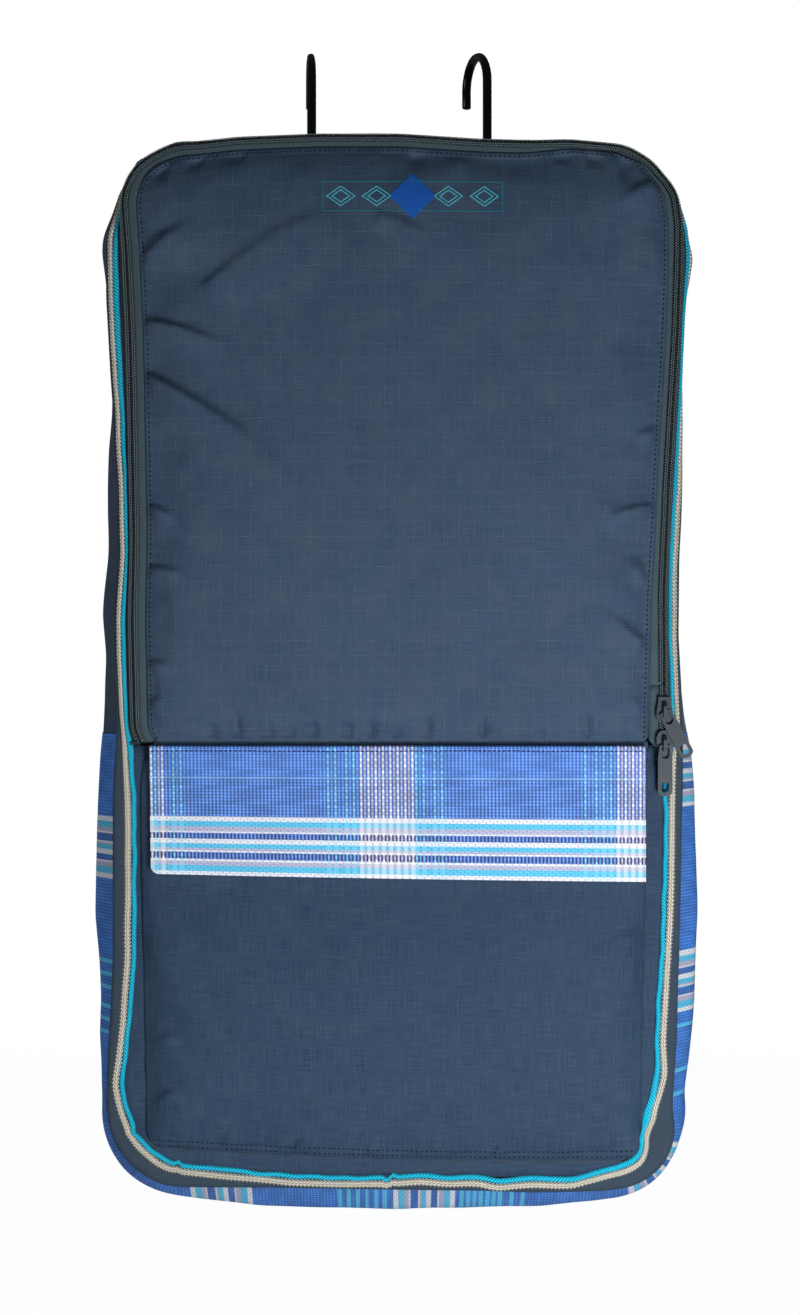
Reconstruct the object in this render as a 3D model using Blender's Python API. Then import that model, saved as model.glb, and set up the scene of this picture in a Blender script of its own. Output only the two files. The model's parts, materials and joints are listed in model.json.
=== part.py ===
"""A padded bridle bag: a hanging cloth bag with a zipped front door and a flapped patch pocket.

Two rod hooks stand on a board under the bag's top and hang the bag from a rail. A revolving
four-prong hook under the same board carries the bridles inside the bag.

Frame, in metres: +X to the right seen from the front, -Y towards the viewer, +Z up. The origin
lies midway between the two hook stems, level with the undersides of the hook crowns, where the
rail passes. Layers are stacked outwards from the gusset's front and back edges, and every inset
is measured inwards from the outline of the front and back seams.
"""
import math
from collections import namedtuple

import bmesh
import bpy
from mathutils import Matrix, Vector

# ---- Clearances ----
GAP = 0.0003                    # between pieces that touch
RUNNING_GAP = 0.0004            # round pins and slider parts that move
HINGE_GAP = 0.0007              # between a folding cloth edge and its fold line

# ---- Bag body ----
BAG_WIDTH = 0.350
BAG_HEIGHT = 0.650
GUSSET_DEPTH = 0.116            # from the front seam to the back seam
CORNER_RADIUS = 0.042
TOP_DROP = 0.060                # from the hook crowns' undersides to the top of the bag
UPPER_GUSSET_HEIGHT = 0.371     # cloth gusset, from the top down; mesh gusset below it
UPPER_GUSSET_T = 0.0025
LOWER_GUSSET_T = 0.0012
HIGH_SIDE_BULGE = 0.009
LOW_SIDE_BULGE = 0.0155
BOTTOM_BULGE = 0.020
CORNER_BULGE = 0.0055           # added where the board pushes the top corners out
SHEET_T = 0.0010                # flat cloth panels and zip tape
SEAM_INSET = 0.0005             # from the outline to the edge of a panel sewn to the seam

# ---- Door ----
DOOR_HEIGHT = 0.3776            # from the top of the bag to the hinge seam
DOOR_INSET = 0.018              # from the outline to the door's edge
DOOR_SHELL_T = 0.0010
DOOR_PUFF = 0.0049              # padded door's face in front of the sheets
DOOR_SHOULDER = 0.016           # width of the rounded edge of the door's face

# ---- Back panel ----
BACK_SHELL_T = 0.0012
BACK_PUFF = 0.0047              # padded back's flat face behind its sewn rim
BACK_RIM = 0.011                # flat sewn rim round the padded back
BACK_SHOULDER = 0.012

# ---- Zip ----
CHAIN_INSET = 0.0118            # from the outline to the middle of the zip chain
CHAIN_GAP = 0.0016              # between the two half chains, where the slider's bridge runs
HALF_CHAIN_WIDTH = 0.0028
CHAIN_HEIGHT = 0.0030
TAPE_SHOW = 0.0002              # tape edge behind the inner side of its half chain
DOOR_TAPE_WIDTH = 0.0092
ZIP_TAIL = 0.010                # the zip's right end runs this far below the hinge seam
ZIP_TAIL_STUB = 0.037           # stretch of the door's half above the hinge seam that stays put
STOP_LENGTH = 0.0020

# ---- Sliders and pull tabs ----
SLIDER_LENGTH = 0.0165
SLIDER_WIDTH = 0.0100
SLIDER_PLATE_T = 0.0013
SLIDER_GAP = 0.0041             # between the two parked sliders
BRIDGE_LENGTH = 0.0050
BAIL_WIDTH = 0.0022
BAIL_T = 0.0011
BAIL_UP = 0.0045                # bail feet above and below the slider's middle
BAIL_DOWN = 0.0045
PULL_LENGTH = 0.0316
PULL_WIDTH = 0.0088
PULL_T = 0.0012
PULL_BAR = 0.0017               # bar between the pull's top edge and its slot
PULL_SLOT_WIDTH = 0.0050
PULL_SLOT_LENGTH = 0.0068
PULL_HOLE_WIDTH = 0.0046
PULL_HOLE_LENGTH = 0.0064
PULL_RIM = 0.0021               # between the hole and the pull's lower edge
UPPER_PULL_TILT = math.radians(28.0)

# ---- Pocket and flap ----
POCKET_WIDTH = 0.315
POCKET_BOTTOM_RISE = 0.021      # from the bag's bottom seam to the pocket's bottom
POCKET_TOP_DROP = 0.0155        # from the hinge seam to the pocket's top edge
POCKET_ROOM = 0.0050
POCKET_CORNER = 0.009
FLAP_WIDTH = 0.304
FLAP_HEIGHT = 0.0775
FLAP_T = 0.0010
FLAP_CORNER = 0.003
FLAP_BAND_DROP = 0.0060         # from the hinge seam to the flap's fold line
CLOSURE_T = 0.0008
CLOSURE_WIDTH = 0.240
CLOSURE_HEIGHT = 0.025
CLOSURE_RISE = 0.006            # from the flap's lower edge to the strips

# ---- Binding ----
BINDING_LIP = 0.0012            # outside the seam
BINDING_HEIGHT = 0.0040
NARROW_BINDING = 0.0064
WIDE_BINDING = 0.0124
BACK_BINDING = 0.0104
BINDING_FLARE = 0.015           # length over which the front binding widens
BINDING_CORNER_TAIL = 0.008     # straight ends of the length that goes over the top

# ---- Hanger board and hanging hooks ----
BOARD_WIDTH = 0.280
BOARD_DEPTH = 0.090
BOARD_T = 0.0050
BOARD_CORNER = 0.010
ROD_DIAMETER = 0.006
HOOK_SPACING = 0.112
HOOK_RADIUS = 0.019             # of the crown's centre line
HOOK_TIP_LENGTH = 0.011         # straight end below the crown
LEFT_HOOK_TURN = math.radians(3.0)
RIGHT_HOOK_TURN = math.radians(19.0)
HOOK_STEM_END = 0.0035          # stem below its nut
WASHER_DIAMETER = 0.016
WASHER_T = 0.0012
NUT_FLATS = 0.010
NUT_HEIGHT = 0.0050
GROMMET_DIAMETER = 0.014
GROMMET_WALL = 0.0008
GROMMET_T = 0.0009

# ---- Revolving bridle hook ----
SWIVEL_DIAMETER = 0.006
SWIVEL_HEAD_DIAMETER = 0.012
SWIVEL_HEAD_T = 0.0022
HUB_DIAMETER = 0.018
HUB_HEIGHT = 0.013
PRONG_DIAMETER = 0.005
PRONG_ROOT = 0.0095             # prong's inner leg from the swivel axis
PRONG_DROP = 0.034              # hub's top down to the start of the prong's bend
PRONG_RADIUS = 0.0135
PRONG_RISE = 0.017
PRONG_COUNT = 4
PRONG_BALL_DIAMETER = 0.008

# ---- Levels that follow from them ----
HALF_WIDTH = BAG_WIDTH / 2
TOP_Z = -TOP_DROP
BOTTOM_Z = TOP_Z - BAG_HEIGHT
HINGE_Z = TOP_Z - DOOR_HEIGHT
GUSSET_SEAM_Z = TOP_Z - UPPER_GUSSET_HEIGHT
EDGE_Y = GUSSET_DEPTH / 2       # back edge of the gusset; the front edge is -EDGE_Y

SHEET_BACK_Y = -EDGE_Y - GAP
SHEET_FRONT_Y = SHEET_BACK_Y - SHEET_T
TRIM_Y = SHEET_FRONT_Y - GAP
CHAIN_FRONT_Y = TRIM_Y - CHAIN_HEIGHT
DOOR_FRONT_Y = TRIM_Y - DOOR_PUFF
LINING_FRONT_Y = SHEET_BACK_Y + GAP
LINING_BACK_Y = LINING_FRONT_Y + SHEET_T

POCKET_BACK_Y = SHEET_FRONT_Y - POCKET_ROOM
POCKET_FRONT_Y = POCKET_BACK_Y - SHEET_T
LOOP_BACK_Y = POCKET_FRONT_Y - GAP
LOOP_FRONT_Y = LOOP_BACK_Y - CLOSURE_T
STRIP_BACK_Y = LOOP_FRONT_Y - GAP
STRIP_FRONT_Y = STRIP_BACK_Y - CLOSURE_T
FLAP_BACK_Y = STRIP_FRONT_Y - GAP
FLAP_FRONT_Y = FLAP_BACK_Y - FLAP_T
POCKET_TOP_Z = HINGE_Z - POCKET_TOP_DROP
POCKET_BOTTOM_Z = BOTTOM_Z + POCKET_BOTTOM_RISE
FLAP_AXIS = Vector((0.0, (FLAP_BACK_Y + FLAP_FRONT_Y) / 2, HINGE_Z - FLAP_BAND_DROP))
FLAP_TOP_Z = FLAP_AXIS.z - GAP
FLAP_BOTTOM_Z = FLAP_TOP_Z - FLAP_HEIGHT

# The open door hangs just in front of the closed flap, so its hinge line lies halfway between.
DOOR_AXIS = Vector((0.0, (DOOR_FRONT_Y + FLAP_FRONT_Y) / 2 - GAP, HINGE_Z))
DOOR_BOTTOM_Z = HINGE_Z + GAP

CHAIN_X = HALF_WIDTH - CHAIN_INSET
FRAME_COIL_INSET = CHAIN_INSET - CHAIN_GAP / 2 - HALF_CHAIN_WIDTH
DOOR_COIL_INSET = CHAIN_INSET + CHAIN_GAP / 2
FRAME_TAPE_EDGE = CHAIN_INSET - CHAIN_GAP / 2 - TAPE_SHOW
DOOR_TAPE_EDGE = CHAIN_INSET + CHAIN_GAP / 2 + TAPE_SHOW
LEFT_ZIP_END_Z = HINGE_Z + GAP
RIGHT_ZIP_END_Z = HINGE_Z - ZIP_TAIL + GAP
DOOR_ZIP_RIGHT_Z = HINGE_Z + ZIP_TAIL_STUB

SLIDER_FRONT_Y = CHAIN_FRONT_Y - RUNNING_GAP - SLIDER_PLATE_T
PULL_PIVOT_Y = SLIDER_FRONT_Y - 2 * PULL_T
PULL_REACH = math.hypot(PULL_BAR / 2, PULL_T / 2) + RUNNING_GAP
BAIL_INNER_Y = PULL_PIVOT_Y - PULL_REACH
PULL_CLEAR = (PULL_BAR / 2 / math.cos(UPPER_PULL_TILT) + BAIL_WIDTH / 2 * math.tan(UPPER_PULL_TILT)
              + RUNNING_GAP)
PULL_PIVOT_DROP = BAIL_DOWN - BAIL_T - PULL_CLEAR
LOWER_SLIDER_Z = RIGHT_ZIP_END_Z + STOP_LENGTH + GAP + SLIDER_LENGTH / 2
UPPER_SLIDER_Z = LOWER_SLIDER_Z + SLIDER_LENGTH + SLIDER_GAP

BOARD_TOP_Z = TOP_Z - UPPER_GUSSET_T - GAP
BOARD_BOTTOM_Z = BOARD_TOP_Z - BOARD_T
ROD_HOLE_RADIUS = ROD_DIAMETER / 2 + RUNNING_GAP
GROMMET_HOLE_RADIUS = ROD_HOLE_RADIUS + GROMMET_WALL + GAP
WASHER_TOP_Z = BOARD_BOTTOM_Z - GAP
NUT_TOP_Z = WASHER_TOP_Z - WASHER_T - GAP
STEM_END_Z = NUT_TOP_Z - NUT_HEIGHT - HOOK_STEM_END
HOOK_ARC_Z = ROD_DIAMETER / 2 - HOOK_RADIUS
SWIVEL_HOLE_RADIUS = SWIVEL_DIAMETER / 2 + RUNNING_GAP
HUB_TOP_Z = BOARD_BOTTOM_Z - RUNNING_GAP
HUB_BOTTOM_Z = HUB_TOP_Z - HUB_HEIGHT
SWIVEL_NUT_TOP_Z = HUB_BOTTOM_Z - GAP

# ---- Resolution ----
ARC_STEPS = 6
SIDE_STEPS = 8
END_STEPS = 4
GUSSET_STEPS = 8
TUBE_SIDES = 12
ROUND_SIDES = 24

Station = namedtuple("Station", "x z nx nz")


# ---------------------------------------------------------------------------
# Materials
# ---------------------------------------------------------------------------

def make_material(name, colour, roughness, metallic=0.0):
    material = bpy.data.materials.new(name)
    material.use_nodes = True
    shader = material.node_tree.nodes["Principled BSDF"]
    shader.inputs["Base Color"].default_value = (*colour, 1.0)
    shader.inputs["Roughness"].default_value = roughness
    shader.inputs["Metallic"].default_value = metallic
    return material


def make_materials():
    return {
        "ripstop": make_material("navy_ripstop", (0.032, 0.058, 0.098), 0.75),
        "mesh": make_material("plaid_mesh", (0.075, 0.150, 0.520), 0.60),
        "binding": make_material("striped_webbing", (0.040, 0.060, 0.080), 0.80),
        "tape": make_material("zip_tape", (0.042, 0.070, 0.075), 0.85),
        "coil": make_material("zip_coil", (0.012, 0.020, 0.020), 0.35),
        "zinc": make_material("dark_zinc", (0.060, 0.085, 0.095), 0.40, 0.8),
        "black_rod": make_material("black_enamel", (0.004, 0.004, 0.004), 0.15),
        "steel": make_material("plated_steel", (0.550, 0.550, 0.540), 0.35, 1.0),
        "foam": make_material("foam", (0.600, 0.600, 0.560), 0.95),
        "lining": make_material("lining_cloth", (0.020, 0.030, 0.050), 0.85),
        "board": make_material("plywood_board", (0.420, 0.290, 0.160), 0.70),
        "closure": make_material("hook_and_loop", (0.015, 0.020, 0.035), 0.95),
    }


# ---------------------------------------------------------------------------
# Building blocks
# ---------------------------------------------------------------------------

def add_object(name, mesh_builder, material, pivot=(0.0, 0.0, 0.0), parent=None, smooth=None):
    """Turns a bmesh into an object whose origin is the pivot, smooth below an edge angle."""
    pivot = Vector(pivot)
    bmesh.ops.recalc_face_normals(mesh_builder, faces=mesh_builder.faces)
    bmesh.ops.translate(mesh_builder, verts=mesh_builder.verts, vec=-pivot)
    mesh = bpy.data.meshes.new(name)
    mesh_builder.to_mesh(mesh)
    mesh_builder.free()
    if smooth is not None:
        mesh.shade_smooth()
        mesh.set_sharp_from_angle(angle=math.radians(smooth))
    mesh.materials.append(material)
    obj = bpy.data.objects.new(name, mesh)
    bpy.context.scene.collection.objects.link(obj)
    if parent is None:
        obj.location = pivot
    else:
        obj.parent = parent
        obj.location = pivot - parent.location
    return obj


def add_joint(name, location, parent=None):
    """An empty that marks the axis of a moving piece and carries it."""
    empty = bpy.data.objects.new(name, None)
    bpy.context.scene.collection.objects.link(empty)
    empty.empty_display_size = 0.02
    if parent is None:
        empty.location = location
    else:
        empty.parent = parent
        empty.location = Vector(location) - parent.location
    return empty


def add_boolean(obj, tool, operation):
    """Applies another object as a Boolean modifier; the tool itself isn't part of the model."""
    tool.hide_render = True
    tool.display_type = 'WIRE'
    modifier = obj.modifiers.new(operation.lower() + "_" + tool.name, 'BOOLEAN')
    modifier.operation = operation
    modifier.solver = 'EXACT'
    modifier.object = tool


def loft(rings, closed_path=False):
    """Skins rings of equal length; an open path gets a flat cap at each end."""
    bm = bmesh.new()
    loops = [[bm.verts.new(point) for point in ring] for ring in rings]
    pairs = list(zip(loops, loops[1:]))
    if closed_path:
        pairs.append((loops[-1], loops[0]))
    for first, second in pairs:
        for index in range(len(first)):
            following = (index + 1) % len(first)
            bm.faces.new((first[index], first[following], second[following], second[index]))
    if not closed_path:
        bm.faces.new(loops[0])
        bm.faces.new(list(reversed(loops[-1])))
    return bm


def prism(outline, start, end, axis):
    """Extrudes a flat outline of (a, b) points along x, y or z from start to end."""
    def place(a, b, c):
        return {'x': (c, a, b), 'y': (a, c, b), 'z': (a, b, c)}[axis]
    return loft([[place(a, b, level) for a, b in outline] for level in (start, end)])


def rounded_rectangle(x0, x1, z0, z1, top_radius, bottom_radius, steps=ARC_STEPS):
    """Points of an upright rectangle whose top and bottom corners are rounded."""
    corners = (
        (x1 - top_radius, z1 - top_radius, top_radius, 0.0),
        (x0 + top_radius, z1 - top_radius, top_radius, math.pi / 2),
        (x0 + bottom_radius, z0 + bottom_radius, bottom_radius, math.pi),
        (x1 - bottom_radius, z0 + bottom_radius, bottom_radius, 1.5 * math.pi),
    )
    points = []
    for centre_x, centre_z, radius, start in corners:
        for step in range(steps + 1):
            angle = start + math.pi / 2 * step / steps
            points.append((centre_x + radius * math.cos(angle), centre_z + radius * math.sin(angle)))
    return points


def circle(radius, sides, centre=(0.0, 0.0), start=0.0):
    angles = (start + 2 * math.pi * side / sides for side in range(sides))
    return [(centre[0] + radius * math.cos(a), centre[1] + radius * math.sin(a)) for a in angles]


def turned(profile, centre_x=0.0, centre_y=0.0, sides=ROUND_SIDES):
    """Turns a closed (radius, z) profile about a vertical axis: a ring with a hole through it."""
    rings = []
    for side in range(sides):
        angle = 2 * math.pi * side / sides
        rings.append([(centre_x + radius * math.cos(angle), centre_y + radius * math.sin(angle), z)
                      for radius, z in profile])
    return loft(rings, closed_path=True)


def stacked_discs(profile, centre_x=0.0, centre_y=0.0, sides=ROUND_SIDES):
    """Turns an open (radius, z) profile into a solid with flat ends."""
    return loft([[(x, y, z) for x, y in circle(radius, sides, (centre_x, centre_y))]
                 for radius, z in profile])


def tube(path, radius, sides=TUBE_SIDES):
    """A round bar along a path that lies in one plane parallel to Y and Z."""
    rings = []
    for index, point in enumerate(path):
        before = Vector(path[max(index - 1, 0)])
        after = Vector(path[min(index + 1, len(path) - 1)])
        tangent = (after - before).normalized()
        across = tangent.cross(Vector((1.0, 0.0, 0.0)))
        rings.append([Vector(point) + Vector((u, 0.0, 0.0)) + across * v
                      for u, v in circle(radius, sides)])
    return loft(rings)


def bar_strip(path, thickness, x0, x1):
    """A flat strip of even thickness that follows a (y, z) path and spans x0 to x1."""
    upper = []
    lower = []
    for index, point in enumerate(path):
        before = Vector(path[max(index - 1, 0)])
        after = Vector(path[min(index + 1, len(path) - 1)])
        incoming = (Vector(point) - before).normalized() if index else None
        outgoing = (after - Vector(point)).normalized() if index < len(path) - 1 else None
        directions = [d for d in (incoming, outgoing) if d is not None]
        mean = sum(directions, Vector((0.0, 0.0))).normalized()
        normal = Vector((-mean.y, mean.x))
        stretch = 1.0 / max(mean.dot(directions[0]), 0.5)
        upper.append(Vector(point) + normal * thickness / 2 * stretch)
        lower.append(Vector(point) - normal * thickness / 2 * stretch)
    outline = [tuple(p) for p in upper + list(reversed(lower))]
    return prism(outline, x0, x1, 'x')


# ---------------------------------------------------------------------------
# The bag's outline
# ---------------------------------------------------------------------------

def quarter(centre_x, centre_z, start_degrees):
    """Stations round one corner, clockwise seen from the front."""
    stations = []
    for step in range(ARC_STEPS + 1):
        angle = math.radians(start_degrees - 90.0 * step / ARC_STEPS)
        nx = math.cos(angle)
        nz = math.sin(angle)
        stations.append(Station(centre_x + CORNER_RADIUS * nx, centre_z + CORNER_RADIUS * nz, nx, nz))
    return stations


def straight(start, end, normal, steps):
    """Stations strictly between two points of a straight edge."""
    return [Station(start[0] + (end[0] - start[0]) * step / steps,
                    start[1] + (end[1] - start[1]) * step / steps, *normal)
            for step in range(1, steps)]


def upper_run(left_z, right_z):
    """Stations from the left side at left_z, over the top, to the right side at right_z."""
    shoulder_z = TOP_Z - CORNER_RADIUS
    shoulder_x = HALF_WIDTH - CORNER_RADIUS
    return (
        [Station(-HALF_WIDTH, left_z, -1.0, 0.0)]
        + straight((-HALF_WIDTH, left_z), (-HALF_WIDTH, shoulder_z), (-1.0, 0.0), SIDE_STEPS)
        + quarter(-shoulder_x, shoulder_z, 180.0)
        + straight((-shoulder_x, TOP_Z), (shoulder_x, TOP_Z), (0.0, 1.0), END_STEPS)
        + quarter(shoulder_x, shoulder_z, 90.0)
        + straight((HALF_WIDTH, shoulder_z), (HALF_WIDTH, right_z), (1.0, 0.0), SIDE_STEPS)
        + [Station(HALF_WIDTH, right_z, 1.0, 0.0)]
    )


def lower_run(start_z):
    """Stations from the right side at start_z, round the bottom, to the left side."""
    heel_z = BOTTOM_Z + CORNER_RADIUS
    heel_x = HALF_WIDTH - CORNER_RADIUS
    return (
        [Station(HALF_WIDTH, start_z, 1.0, 0.0)]
        + straight((HALF_WIDTH, start_z), (HALF_WIDTH, heel_z), (1.0, 0.0), SIDE_STEPS)
        + quarter(heel_x, heel_z, 0.0)
        + straight((heel_x, BOTTOM_Z), (-heel_x, BOTTOM_Z), (0.0, -1.0), END_STEPS)
        + quarter(-heel_x, heel_z, -90.0)
        + straight((-HALF_WIDTH, heel_z), (-HALF_WIDTH, start_z), (-1.0, 0.0), SIDE_STEPS)
        + [Station(-HALF_WIDTH, start_z, -1.0, 0.0)]
    )


def at(station, inset, y):
    return (station.x - station.nx * inset, y, station.z - station.nz * inset)


def sweep(stations, section, closed_path=False):
    """Sweeps a closed section of (inset, y) points; the section may change with the station."""
    return loft([[at(station, inset, y) for inset, y in section(station)] for station in stations],
                closed_path)


def smoothstep(low, high, value):
    share = min(max((value - low) / (high - low), 0.0), 1.0)
    return share * share * (3.0 - 2.0 * share)


# ---------------------------------------------------------------------------
# Gussets, back and bindings
# ---------------------------------------------------------------------------

def gusset_bulge(station, y):
    """How far the gusset stands outside the seam outline at this place."""
    side = station.nx ** 2
    up = max(station.nz, 0.0)
    down = max(-station.nz, 0.0)
    depth_share = (TOP_Z - station.z) / BAG_HEIGHT
    side_bulge = HIGH_SIDE_BULGE + (LOW_SIDE_BULGE - HIGH_SIDE_BULGE) * smoothstep(0.4, 0.75, depth_share)
    corner = CORNER_BULGE * 4.0 * side * up ** 2
    crown = side_bulge * side + BOTTOM_BULGE * down ** 2 + corner
    fullness = 2.2 + 3.8 * up
    return crown * (1.0 - abs(y / EDGE_Y) ** fullness)


def gusset_section(thickness):
    levels = [EDGE_Y * (2.0 * step / GUSSET_STEPS - 1.0) for step in range(GUSSET_STEPS + 1)]

    def section(station):
        outer = [(-gusset_bulge(station, y), y) for y in levels]
        inner = [(thickness - gusset_bulge(station, y), y) for y in reversed(levels)]
        return outer + inner
    return section


def build_gussets(materials):
    seam = GAP / 2
    upper = add_object(
        "upper_gusset",
        sweep(upper_run(GUSSET_SEAM_Z + seam, GUSSET_SEAM_Z + seam), gusset_section(UPPER_GUSSET_T)),
        materials["ripstop"], smooth=40)
    for side, x in hook_sides():
        hole = add_object("cut_gusset_" + side,
                          stacked_discs(((GROMMET_HOLE_RADIUS, TOP_Z - 2 * UPPER_GUSSET_T),
                                         (GROMMET_HOLE_RADIUS, TOP_Z + UPPER_GUSSET_T)), x),
                          materials["ripstop"])
        add_boolean(upper, hole, 'DIFFERENCE')
    add_object("lower_gusset",
               sweep(lower_run(GUSSET_SEAM_Z - seam), gusset_section(LOWER_GUSSET_T)),
               materials["mesh"], smooth=40)


def binding_section(width_at, side):
    """Webbing folded over a seam: a lip outside it and a crowned strip on its face."""
    face = EDGE_Y + GAP
    strip = face + SHEET_T + GAP
    if side > 0:
        strip = face + BACK_SHELL_T + GAP
    crown = strip + BINDING_HEIGHT

    def section(station):
        width = width_at(station)
        points = (
            (-BINDING_LIP, face),
            (-BINDING_LIP, strip + 0.4 * BINDING_HEIGHT),
            (0.2 * BINDING_LIP, crown - 0.15 * BINDING_HEIGHT),
            (0.5 * width, crown),
            (width - BINDING_LIP, crown - 0.15 * BINDING_HEIGHT),
            (width, strip + 0.45 * BINDING_HEIGHT),
            (width, strip),
            (SEAM_INSET - GAP, strip),
            (SEAM_INSET - GAP, face),
        )
        return [(inset, side * y) for inset, y in points]
    return section


def front_binding_width(station):
    """Narrow beside the zip, wide round the lower front panel."""
    flare_top = RIGHT_ZIP_END_Z - GAP
    share = smoothstep(flare_top - BINDING_FLARE, flare_top, station.z)
    return WIDE_BINDING + (NARROW_BINDING - WIDE_BINDING) * share


def build_bindings(materials):
    """The front binding is cut into lengths beside the zip, so that each long side is straight."""
    flare_top = RIGHT_ZIP_END_Z - GAP
    corner_z = TOP_Z - CORNER_RADIUS - BINDING_CORNER_TAIL
    around = lower_run(flare_top - BINDING_FLARE)
    lower = [Station(HALF_WIDTH, flare_top, 1.0, 0.0)] + around + [Station(-HALF_WIDTH, flare_top, -1.0, 0.0)]
    front = binding_section(front_binding_width, -1)
    add_object("front_binding_lower", sweep(lower, front), materials["binding"], smooth=50)
    add_object("front_binding_top", sweep(upper_run(corner_z, corner_z), front), materials["binding"], smooth=50)
    for name, side in (("front_binding_left", -1.0), ("front_binding_right", 1.0)):
        ends = [Station(side * HALF_WIDTH, z, side, 0.0) for z in (flare_top + GAP, corner_z - GAP)]
        add_object(name, sweep(ends, front), materials["binding"], smooth=50)
    loop = upper_run(flare_top, flare_top) + around
    add_object("back_binding", sweep(loop, binding_section(lambda station: BACK_BINDING, 1), True),
               materials["binding"], smooth=50)


def inset_outline(inset):
    return rounded_rectangle(-HALF_WIDTH + inset, HALF_WIDTH - inset, BOTTOM_Z + inset, TOP_Z - inset,
                             CORNER_RADIUS - inset, CORNER_RADIUS - inset)


def layered(outline_at, steps):
    """Skins a body through (inset, y) steps, each on the same outline drawn further in."""
    return loft([[(x, y, z) for x, z in outline_at(inset)] for inset, y in steps])


def build_back(materials):
    lining_inset = UPPER_GUSSET_T + 2 * GAP
    rim_inner_y = EDGE_Y + GAP
    rim_outer_y = rim_inner_y + BACK_SHELL_T
    raised = BACK_RIM + BACK_SHOULDER
    shell_steps = (
        (raised + 0.3 * BACK_SHELL_T, rim_inner_y + BACK_PUFF),
        (BACK_RIM + 0.35 * BACK_SHOULDER, rim_inner_y + 0.7 * BACK_PUFF),
        (BACK_RIM, rim_inner_y),
        (SEAM_INSET, rim_inner_y),
        (SEAM_INSET, rim_outer_y),
        (BACK_RIM - 0.4 * BACK_SHELL_T, rim_outer_y),
        (BACK_RIM + 0.25 * BACK_SHOULDER, rim_outer_y + 0.7 * BACK_PUFF),
        (raised, rim_outer_y + BACK_PUFF),
    )
    add_object("back_shell", layered(inset_outline, shell_steps), materials["ripstop"], smooth=40)
    padding_steps = (
        (BACK_RIM + 2 * GAP, rim_inner_y),
        (BACK_RIM + 0.4 * BACK_SHOULDER + GAP, rim_inner_y + 0.7 * BACK_PUFF - GAP),
        (raised + GAP, rim_inner_y + BACK_PUFF - GAP),
    )
    add_object("back_padding", layered(inset_outline, padding_steps), materials["foam"])
    add_object("back_lining",
               prism(inset_outline(lining_inset), rim_inner_y - GAP - SHEET_T, rim_inner_y - GAP, 'y'),
               materials["lining"])


# ---------------------------------------------------------------------------
# Door
# ---------------------------------------------------------------------------

def door_outline(inset):
    edge = DOOR_INSET + inset
    top_radius = CORNER_RADIUS - edge
    bottom_radius = max(DOOR_SHELL_T, 0.25 * top_radius)
    return rounded_rectangle(-HALF_WIDTH + edge, HALF_WIDTH - edge, DOOR_BOTTOM_Z + inset, TOP_Z - edge,
                             top_radius, bottom_radius)


def build_door(materials, hinge):
    shell = DOOR_SHELL_T
    shell_steps = (
        (DOOR_SHOULDER, DOOR_FRONT_Y + shell),
        (0.52 * DOOR_SHOULDER, DOOR_FRONT_Y + 0.12 * DOOR_PUFF + shell),
        (0.12 * DOOR_SHOULDER + shell, DOOR_FRONT_Y + 0.45 * DOOR_PUFF + shell),
        (shell, TRIM_Y),
        (0.0, TRIM_Y),
        (0.0, TRIM_Y - 0.3 * DOOR_PUFF),
        (0.12 * DOOR_SHOULDER, DOOR_FRONT_Y + 0.4 * DOOR_PUFF),
        (0.5 * DOOR_SHOULDER, DOOR_FRONT_Y + 0.1 * DOOR_PUFF),
        (DOOR_SHOULDER, DOOR_FRONT_Y),
    )
    add_object("door_shell", layered(door_outline, shell_steps), materials["ripstop"],
               DOOR_AXIS, hinge, smooth=40)
    tape_clear = DOOR_TAPE_EDGE + DOOR_TAPE_WIDTH - DOOR_INSET + GAP
    padding_steps = (
        (tape_clear, SHEET_BACK_Y),
        (tape_clear, DOOR_FRONT_Y + 0.45 * DOOR_PUFF + shell + GAP),
        (0.55 * DOOR_SHOULDER + GAP, DOOR_FRONT_Y + 0.2 * DOOR_PUFF + shell + GAP),
        (DOOR_SHOULDER, DOOR_FRONT_Y + shell + GAP),
    )
    add_object("door_padding", layered(door_outline, padding_steps), materials["foam"], DOOR_AXIS, hinge)
    add_object("door_lining", prism(door_outline(0.0), LINING_FRONT_Y, LINING_BACK_Y, 'y'),
               materials["lining"], DOOR_AXIS, hinge)


# ---------------------------------------------------------------------------
# Zip
# ---------------------------------------------------------------------------

def flat_section(inset, width, back_y, front_y):
    corners = ((inset, back_y), (inset + width, back_y), (inset + width, front_y), (inset, front_y))
    return lambda station: corners


def coil_section(inset):
    """A half chain: flat on the tape, rounded in front."""
    crown = CHAIN_HEIGHT
    width = HALF_CHAIN_WIDTH
    points = (
        (inset, TRIM_Y),
        (inset + width, TRIM_Y),
        (inset + width, TRIM_Y - 0.65 * crown),
        (inset + 0.75 * width, TRIM_Y - crown),
        (inset + 0.25 * width, TRIM_Y - crown),
        (inset, TRIM_Y - 0.65 * crown),
    )
    return lambda station: points


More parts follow.
